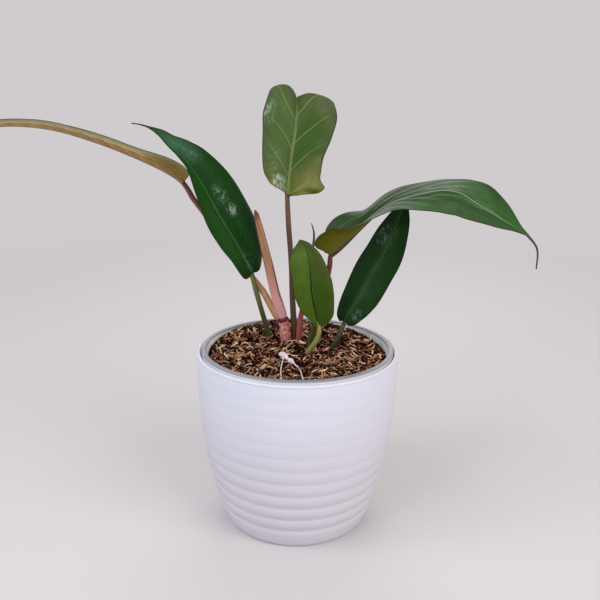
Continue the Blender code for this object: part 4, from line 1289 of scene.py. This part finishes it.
# The upper side and the underside of each leaf, and its slot. A band is (distance from the rib at the
# base and at the tip, half width, colour, strength), and a patch is (place, across, half length, half
# width, colour, strength); some patches are painted sheen, light and shade, as marked. Dry and wet
# spots are patches without a colour; wet spots give a glossy coat and a painted sheen.
LEAF_LOOKS = {
    "long_left_leaf": (
        look(tint(104, 108, 70), tint(98, 104, 66), tint(120, 104, 40), tint(130, 116, 76),
             tint(92, 92, 66), tint(70, 60, 44), tint(170, 146, 100), tint(150, 142, 104)),
        look(tint(182, 164, 112), tint(156, 136, 84), tint(134, 112, 28), tint(170, 154, 112),
             tint(128, 132, 96), tint(78, 68, 48), tint(140, 100, 70), tint(206, 182, 130),
             base_span=(0.02, 0.22), edges=0.9, rib_half=0.08, veins=0.25, hair=0.2, mottle=0.4,
             shade=tint(136, 116, 56),
             bands=((0.08, 0.16, 0.2, tint(150, 108, 66), 0.8),
                    (0.2, 0.36, 0.06, tint(100, 72, 30), 0.8),
                    (0.28, 0.56, 0.05, tint(226, 196, 146), 0.8)),
             patches=((0.05, -0.5, 0.13, 0.5, tint(106, 84, 12), 0.9),)), "leaf_bronze"),
    "dark_left_leaf": (
        look(tint(28, 70, 20), tint(14, 56, 10), tint(12, 44, 10), tint(60, 66, 44),
             tint(22, 54, 20), tint(26, 34, 18), tint(56, 94, 52), tint(42, 80, 40),
             veins=0.15, hair=0.05, shine=0.07, rib_half=0.04, flecks=0.4, edges=0.4,
             fleck=tint(120, 140, 104),
             patches=((0.2, 0.7, 0.22, 0.6, tint(10, 44, 8), 0.7),
                      # Painted shade: the near-black patch where the lower right lobe curls away.
                      (0.17, 0.9, 0.2, 0.4, tint(2, 14, 2), 0.85),
                      # Painted sheen: the grey-green patch towards the tip.
                      (0.76, 0.4, 0.14, 0.7, tint(72, 112, 90), 0.6)),
             wet=((0.45, 0.3, 0.07, 0.24, 0.8), (0.35, 0.42, 0.045, 0.24, 1.3),
                  (0.7, 0.45, 0.07, 0.35, 0.35), (0.07, 0.05, 0.07, 0.3, 1.1))),
        look(tint(50, 62, 30), tint(44, 54, 26), tint(60, 60, 26), tint(44, 50, 26),
             tint(40, 48, 24), tint(74, 44, 34), tint(84, 78, 40), tint(66, 78, 40)), "leaf_dark"),
    "tall_back_leaf": (
        look(tint(70, 91, 41), tint(57, 80, 25), tint(96, 96, 28), tint(84, 92, 50),
             tint(68, 80, 46), tint(54, 40, 38), tint(104, 120, 62), tint(116, 130, 76),
             base_span=(0.0, 0.16), veins=0.55, hair=0.1, shine=0.16,
             # The crease colour is a painted shade between the flared base and the blade.
             fleck=tint(140, 146, 84), fold=tint(124, 116, 34), crease=tint(48, 52, 14),
             corner=tint(140, 92, 54),
             patches=((0.09, 0.75, 0.12, 0.7, tint(124, 120, 62), 0.85),
                      (0.22, 0.3, 0.12, 0.6, tint(48, 80, 12), 0.6),
                      # Painted reflection: the two grey patches along the top of the fold.
                      (0.44, 0.7, 0.07, 0.8, tint(88, 92, 66), 0.7),
                      (0.45, -0.6, 0.06, 0.8, tint(84, 90, 60), 0.6),
                      # Painted shade: the dark band where the blade turns over backwards at its fold.
                      (0.52, 0.0, 0.07, 1.6, tint(40, 40, 24), 0.9)),
             dry=((0.5, 0.0, 0.12, 1.6, 0.5),),
             wet=((0.04, -0.4, 0.055, 0.5, 2.4), (0.36, -0.82, 0.07, 0.25, 1.2),
                  (0.15, -0.6, 0.08, 0.45, 0.5), (0.22, 0.8, 0.08, 0.2, 0.2))),
        look(tint(112, 106, 40), tint(104, 100, 36), tint(124, 110, 28), tint(96, 92, 40),
             tint(108, 96, 44), tint(84, 58, 46), tint(122, 96, 58), tint(134, 126, 62)),
        "leaf_olive"),
    "long_right_leaf": (
        look(tint(42, 74, 34), tint(50, 78, 40), tint(40, 62, 28), tint(58, 96, 44),
             tint(48, 76, 34), tint(62, 42, 38), tint(124, 142, 112), tint(108, 128, 94),
             veins=0.2, hair=0.05, shine=0.08, base_span=(0.06, 0.36), rib_half=0.05,
             bands=((0.42, -0.3, 0.07, tint(24, 50, 20), 0.6),
                    (0.62, -0.15, 0.04, tint(138, 156, 124), 0.4),
                    (0.95, 0.0, 0.06, tint(26, 52, 20), 0.5)),
             patches=((0.77, -0.3, 0.12, 0.55, tint(50, 98, 24), 0.5),
                      (0.45, 0.8, 0.25, 0.5, tint(84, 110, 76), 0.4),
                      (0.34, 0.1, 0.12, 0.55, tint(12, 36, 8), 0.75),
                      (0.28, -0.45, 0.13, 0.5, tint(20, 46, 14), 0.5),
                      # Painted light: a lighter patch that lifts part of the upper half out of its
                      # shade.
                      (0.6, -0.35, 0.12, 0.7, tint(72, 110, 60), 0.7),
                      (0.12, -0.6, 0.1, 0.6, tint(56, 82, 44), 0.5))),
        look(tint(92, 90, 16), tint(92, 90, 16), tint(96, 92, 16), tint(70, 52, 30),
             tint(86, 84, 18), tint(72, 44, 32), tint(78, 46, 34), tint(122, 112, 44),
             veins=0.2, mottle=0.6), "leaf_green"),
    "small_front_leaf": (
        look(tint(68, 94, 20), tint(54, 76, 16), tint(60, 84, 22), tint(52, 62, 22),
             tint(70, 88, 28), tint(48, 52, 20), tint(20, 36, 8), tint(92, 112, 44),
             veins=0.06, hair=0.05, shine=0.14, rough=0.44, rib_half=0.065, flecks=0.9,
             fleck=tint(156, 162, 96), mottle=0.9,
             patches=((0.8, -0.35, 0.25, 0.7, tint(88, 114, 34), 0.35),
                      (0.7, 0.6, 0.2, 0.5, tint(60, 66, 20), 0.6))),
        look(tint(84, 100, 42), tint(76, 92, 38), tint(100, 96, 40), tint(70, 80, 30),
             tint(80, 90, 40), tint(72, 60, 34), tint(110, 104, 56), tint(100, 114, 60)), "leaf_olive"),
    "dark_right_leaf": (
        look(tint(12, 44, 6), tint(26, 54, 20), tint(16, 38, 10), tint(26, 50, 18),
             tint(18, 40, 12), tint(18, 20, 12), tint(46, 74, 40), tint(40, 70, 36),
             veins=0.15, hair=0.05, shine=0.06, rib_half=0.08, edges=0.35,
             fleck=tint(96, 116, 84), bands=((0.0, 0.0, 0.3, tint(54, 82, 48), 0.7),),
             patches=((0.7, 0.6, 0.2, 0.6, tint(24, 60, 18), 0.6),
                      (0.1, -0.6, 0.1, 0.6, tint(8, 30, 4), 0.6)),
             wet=((0.69, -0.45, 0.1, 0.4, 0.6), (0.075, 0.45, 0.07, 0.5, 0.45),
                  (0.72, 0.15, 0.1, 0.3, 0.3))),
        look(tint(40, 56, 30), tint(34, 48, 26), tint(50, 54, 28), tint(40, 50, 26),
             tint(36, 44, 24), tint(40, 34, 26), tint(56, 52, 32), tint(60, 72, 40)), "leaf_dark"),
}


# ---- sizes and colours


def colour_setting(name, description, default):
    """A setting for a surface's colour."""
    return FloatVectorProperty(
        name=name, description=description, default=default, subtype="COLOR", size=3, min=0.0, max=1.0)


class PotSettings(bpy.types.PropertyGroup):
    """The two pots."""

    rib_depth: FloatProperty(
        name="Rib depth", description="Share of the full depth of the grooves round the cover pot",
        default=1.0, min=0.0, max=1.0, subtype="FACTOR")
    white: colour_setting("Cover pot", "Colour of the cover pot", tint(209, 208, 221))
    grey: colour_setting("Nursery pot", "Colour of the nursery pot", tint(226, 225, 228))


class MixSettings(bpy.types.PropertyGroup):
    """The potting mix."""

    seed: IntProperty(name="Seed", description="Which scatter of chips is laid", default=7, min=0)
    fibres: IntProperty(name="Fibres", description="Number of pale wood fibres", default=1700, min=0)
    crumbs: IntProperty(name="Crumbs", description="Number of brown bark crumbs", default=3600, min=0)
    soil: colour_setting("Soil", "Colour of the compost", tint(20, 8, 4))


class StageSettings(bpy.types.PropertyGroup):
    """Floor, background and lamps."""

    floor: colour_setting("Floor", "Colour of the floor", tint(208, 203, 204))
    background: colour_setting("Background", "Colour behind the plant", tint(208, 204, 206))
    ambient: FloatProperty(
        name="Ambient light", description="Strength of the light from all round", default=0.5, min=0.0)
    floor_size: FloatProperty(
        name="Floor size", description="Half the width of the floor", default=3.0, min=0.5,
        unit="LENGTH", subtype="DISTANCE")


# ---- operators


class PLANT_OT_cover_pot(bpy.types.Operator):
    """Make the ribbed cover pot"""

    bl_idname = "plant.cover_pot"
    bl_label = "Cover Pot"

    def execute(self, context):
        settings = context.scene.plant_pot
        skin = white_plastic(tuple(settings.white))
        pot = cover_pot_mesh(settings.rib_depth)
        finished("ribbed_cover_pot", pot, [skin], ["cover_pot"], smooth=60.0)
        return {"FINISHED"}


class PLANT_OT_nursery_pot(bpy.types.Operator):
    """Make the thin nursery pot"""

    bl_idname = "plant.nursery_pot"
    bl_label = "Nursery Pot"

    def execute(self, context):
        skin = grey_plastic(tuple(context.scene.plant_pot.grey))
        pot = finished(
            "thin_nursery_pot", nursery_pot_mesh(), [skin], ["nursery_pot"])
        for index in range(DRAIN_HOLES):
            cut_away(pot, drain_hole(index, skin))
        return {"FINISHED"}


class PLANT_OT_potting_mix(bpy.types.Operator):
    """Make the potting mix and the bark and fibres that lie on it"""

    bl_idname = "plant.potting_mix"
    bl_label = "Potting Mix"

    def execute(self, context):
        settings = context.scene.plant_mix
        skin = soil(tuple(settings.soil))
        finished(
            "crumbly_mix", potting_mix_mesh(), [skin], ["potting_mix"], smooth=80.0)
        brown = bark("brown_bark", tint(20, 6, 3), tint(48, 18, 10), tint(110, 62, 44))
        pale = bark("pale_wood", tint(78, 40, 28), tint(176, 126, 96), tint(248, 220, 186))
        crumbs = scattered(
            settings.seed, settings.crumbs, lengths=(1.2, 5.0), widths=(0.2, 0.5), bend=0.45, tilt=0.8,
            lift=(-0.5, 1.2))
        finished("bark_crumbs", crumbs, [brown], smooth=30.0)
        fibres = scattered(
            settings.seed + 1, settings.fibres, lengths=(1.8, 8.5), widths=(0.07, 0.17), bend=1.1,
            tilt=0.6, lift=(0.2, 1.8))
        finished("wood_fibres", fibres, [pale], smooth=30.0)
        rng = random.Random(settings.seed + 2)
        large = bmesh.new()
        for chip in (*CHIPS, FLAKE):
            take_in(large, large_chip(chip, rng))
        keep_tones(large, [0.25 + 0.5 * (index * 0.37 % 1.0) for index in range(len(CHIPS) + 1)])
        nodes = [f"bark_chip_{number}" for number in range(1, len(CHIPS) + 1)]
        finished("large_bark_chips", large, [pale], nodes, smooth=50.0)
        return {"FINISHED"}


class PLANT_OT_stalks(bpy.types.Operator):
    """Make the leaf stalks"""

    bl_idname = "plant.stalks"
    bl_label = "Stalks"

    def execute(self, context):
        for name, rows in STALKS.items():
            slot, *colours = STALK_LOOKS[name]
            skin = stalk_skin(name + "_skin", *colours)
            rows = seated(rows, Blade(name.replace("stalk", "leaf")))
            rings = round(Smooth.along(rows).length / STALK_RING)
            stalk = tube(rows, STALK_SIDES, rings, shape=stalk_shape(STALK_CHANNEL))
            finished(name + "_skin", stalk, [skin], [name])
        return {"FINISHED"}


class PLANT_OT_growing_points(bpy.types.Operator):
    """Make the main stem, the rolled new leaf and the side sheath"""

    bl_idname = "plant.growing_points"
    bl_label = "Growing Points"

    def execute(self, context):
        stem = tube(STEM, sides=48, rings=70, shape=stem_shape)
        finished("wrinkled_stem", stem, [stem_skin()], ["main_stem"])
        roll = tube(NEW_LEAF, sides=48, rings=110, flat=NEW_LEAF_DEPTH, shape=rolled_shape)
        finished("rolled_leaf", roll, [rolled_skin()], ["new_leaf"], smooth=60.0)
        sheath = tube(SIDE_SHEATH, sides=28, rings=110, shape=stalk_shape(SHEATH_CHANNEL))
        finished("dry_sheath", sheath, [sheath_skin()], ["side_sheath"])
        return {"FINISHED"}


class PLANT_OT_surface_root(bpy.types.Operator):
    """Make the pale root that lies over the mix"""

    bl_idname = "plant.surface_root"
    bl_label = "Surface Root"

    def execute(self, context):
        root = tube(lying(ROOT_MAIN), ROOT_SIDES, rings=120, shape=root_shape)
        branch = tube(lying(ROOT_BRANCH), ROOT_SIDES, rings=100, shape=root_shape)
        take_in(root, mesh_of("branch", branch))
        finished("pale_root", root, [root_skin()], ["surface_root"])
        return {"FINISHED"}


class PLANT_OT_leaves(bpy.types.Operator):
    """Make the leaf blades"""

    bl_idname = "plant.leaves"
    bl_label = "Leaves"

    def execute(self, context):
        for name, (upper, under, slot) in LEAF_LOOKS.items():
            skins = [leaf_skin(name + "_upper", name, upper), leaf_skin(name + "_under", name, under)]
            leaf(name, skins)
        return {"FINISHED"}


def lamp(name, place, size, power, colour):
    """A square soft lamp that looks at the plant."""
    light = bpy.data.lights.new(name, "AREA")
    light.size = size
    light.energy = power
    light.color = colour
    made = placed(name, light)
    made.location = place
    made.rotation_euler = (Vector(LIT_POINT) - Vector(place)).to_track_quat("-Z", "Y").to_euler()


def view():
    """The camera that the plant is shown by."""
    camera = bpy.data.cameras.new("camera")
    camera.lens = EYE_LENS
    camera.clip_start = 0.01
    eye = placed("camera", camera)
    tilt = Matrix.Rotation(math.radians(90 - EYE_PITCH), 4, "X")
    eye.matrix_world = Matrix.Translation(EYE) @ tilt @ Matrix.Rotation(math.radians(EYE_ROLL), 4, "Z")
    bpy.context.scene.camera = eye


def background(settings):
    """Even light for the plant, and a pale background for what the camera and reflections see."""
    world = bpy.data.worlds.new("studio")
    bpy.context.scene.world = world
    world.use_nodes = True
    tree = world.node_tree
    camera, glossy, through = [
        Wire(tree).add("ShaderNodeLightPath", None, None, f"Is {kind} Ray")
        for kind in ("Camera", "Glossy", "Transmission")]
    seen = (camera + glossy + through).clamped()
    even = toned_down((0.98, 0.98, 1.0), settings.ambient)
    shown = seen.mix(even, tuple(settings.background))
    tree.links.new(shown.socket, tree.nodes["Background"].inputs["Color"])


def floor_skin(settings):
    """Pale floor near the plant that turns into the background further out."""
    surface = Surface(
        "pale_floor", Base_Color=(*settings.floor, 1.0), Roughness=0.7, Specular_IOR_Level=0.2)
    tree = surface.start.tree
    far = surface.place().stretched(1, 1, 0)
    distance = far.add("ShaderNodeVectorMath", {"operation": "LENGTH"}, {0: far}, 1)
    glow = tree.nodes.new("ShaderNodeEmission")
    glow.inputs["Color"].default_value = (*settings.background, 1.0)
    mix = tree.nodes.new("ShaderNodeMixShader")
    tree.links.new(distance.step(*FLOOR_FADE).socket, mix.inputs[0])
    tree.links.new(surface.shader.outputs[0], mix.inputs[1])
    tree.links.new(glow.outputs[0], mix.inputs[2])
    tree.links.new(mix.outputs[0], tree.nodes["Material Output"].inputs["Surface"])
    return surface.material


class PLANT_OT_stage(bpy.types.Operator):
    """Make the floor, the background, the lamps and the camera"""

    bl_idname = "plant.stage"
    bl_label = "Stage"

    def execute(self, context):
        settings = context.scene.plant_stage
        bm = bmesh.new()
        bmesh.ops.create_grid(bm, x_segments=1, y_segments=1, size=settings.floor_size)
        mesh = mesh_of("floor", bm)
        mesh.materials.append(floor_skin(settings))
        floor = placed("floor", mesh)
        background(settings)
        for values in LAMPS:
            lamp(*values)
        view()
        context.scene.view_settings.view_transform = "Standard"
        return {"FINISHED"}


class PLANT_PT_sidebar(bpy.types.Panel):
    """The plant's sizes, colours and pieces"""

    bl_idname = "PLANT_PT_sidebar"
    bl_label = "Potted Plant"
    bl_space_type = "VIEW_3D"
    bl_region_type = "UI"
    bl_category = "Plant"

    def draw(self, context):
        for group in (context.scene.plant_pot, context.scene.plant_mix, context.scene.plant_stage):
            box = self.layout.box()
            for name in group.bl_rna.properties.keys():
                if name not in ("rna_type", "name"):
                    box.prop(group, name)
        for operator in OPERATORS:
            self.layout.operator(operator.bl_idname)


SETTINGS = {"plant_pot": PotSettings, "plant_mix": MixSettings, "plant_stage": StageSettings}
OPERATORS = (
    PLANT_OT_cover_pot, PLANT_OT_nursery_pot, PLANT_OT_potting_mix, PLANT_OT_surface_root,
    PLANT_OT_stalks, PLANT_OT_growing_points, PLANT_OT_leaves, PLANT_OT_stage)


def register():
    for kind in (*SETTINGS.values(), *OPERATORS, PLANT_PT_sidebar):
        bpy.utils.register_class(kind)
    for name, kind in SETTINGS.items():
        setattr(bpy.types.Scene, name, PointerProperty(type=kind))


def unregister():
    for name in SETTINGS:
        delattr(bpy.types.Scene, name)
    for kind in reversed((*SETTINGS.values(), *OPERATORS, PLANT_PT_sidebar)):
        bpy.utils.unregister_class(kind)


def main():
    register()
    for operator in OPERATORS:
        group, name = operator.bl_idname.split(".")
        getattr(getattr(bpy.ops, group), name)()


if __name__ == "__main__":
    main()
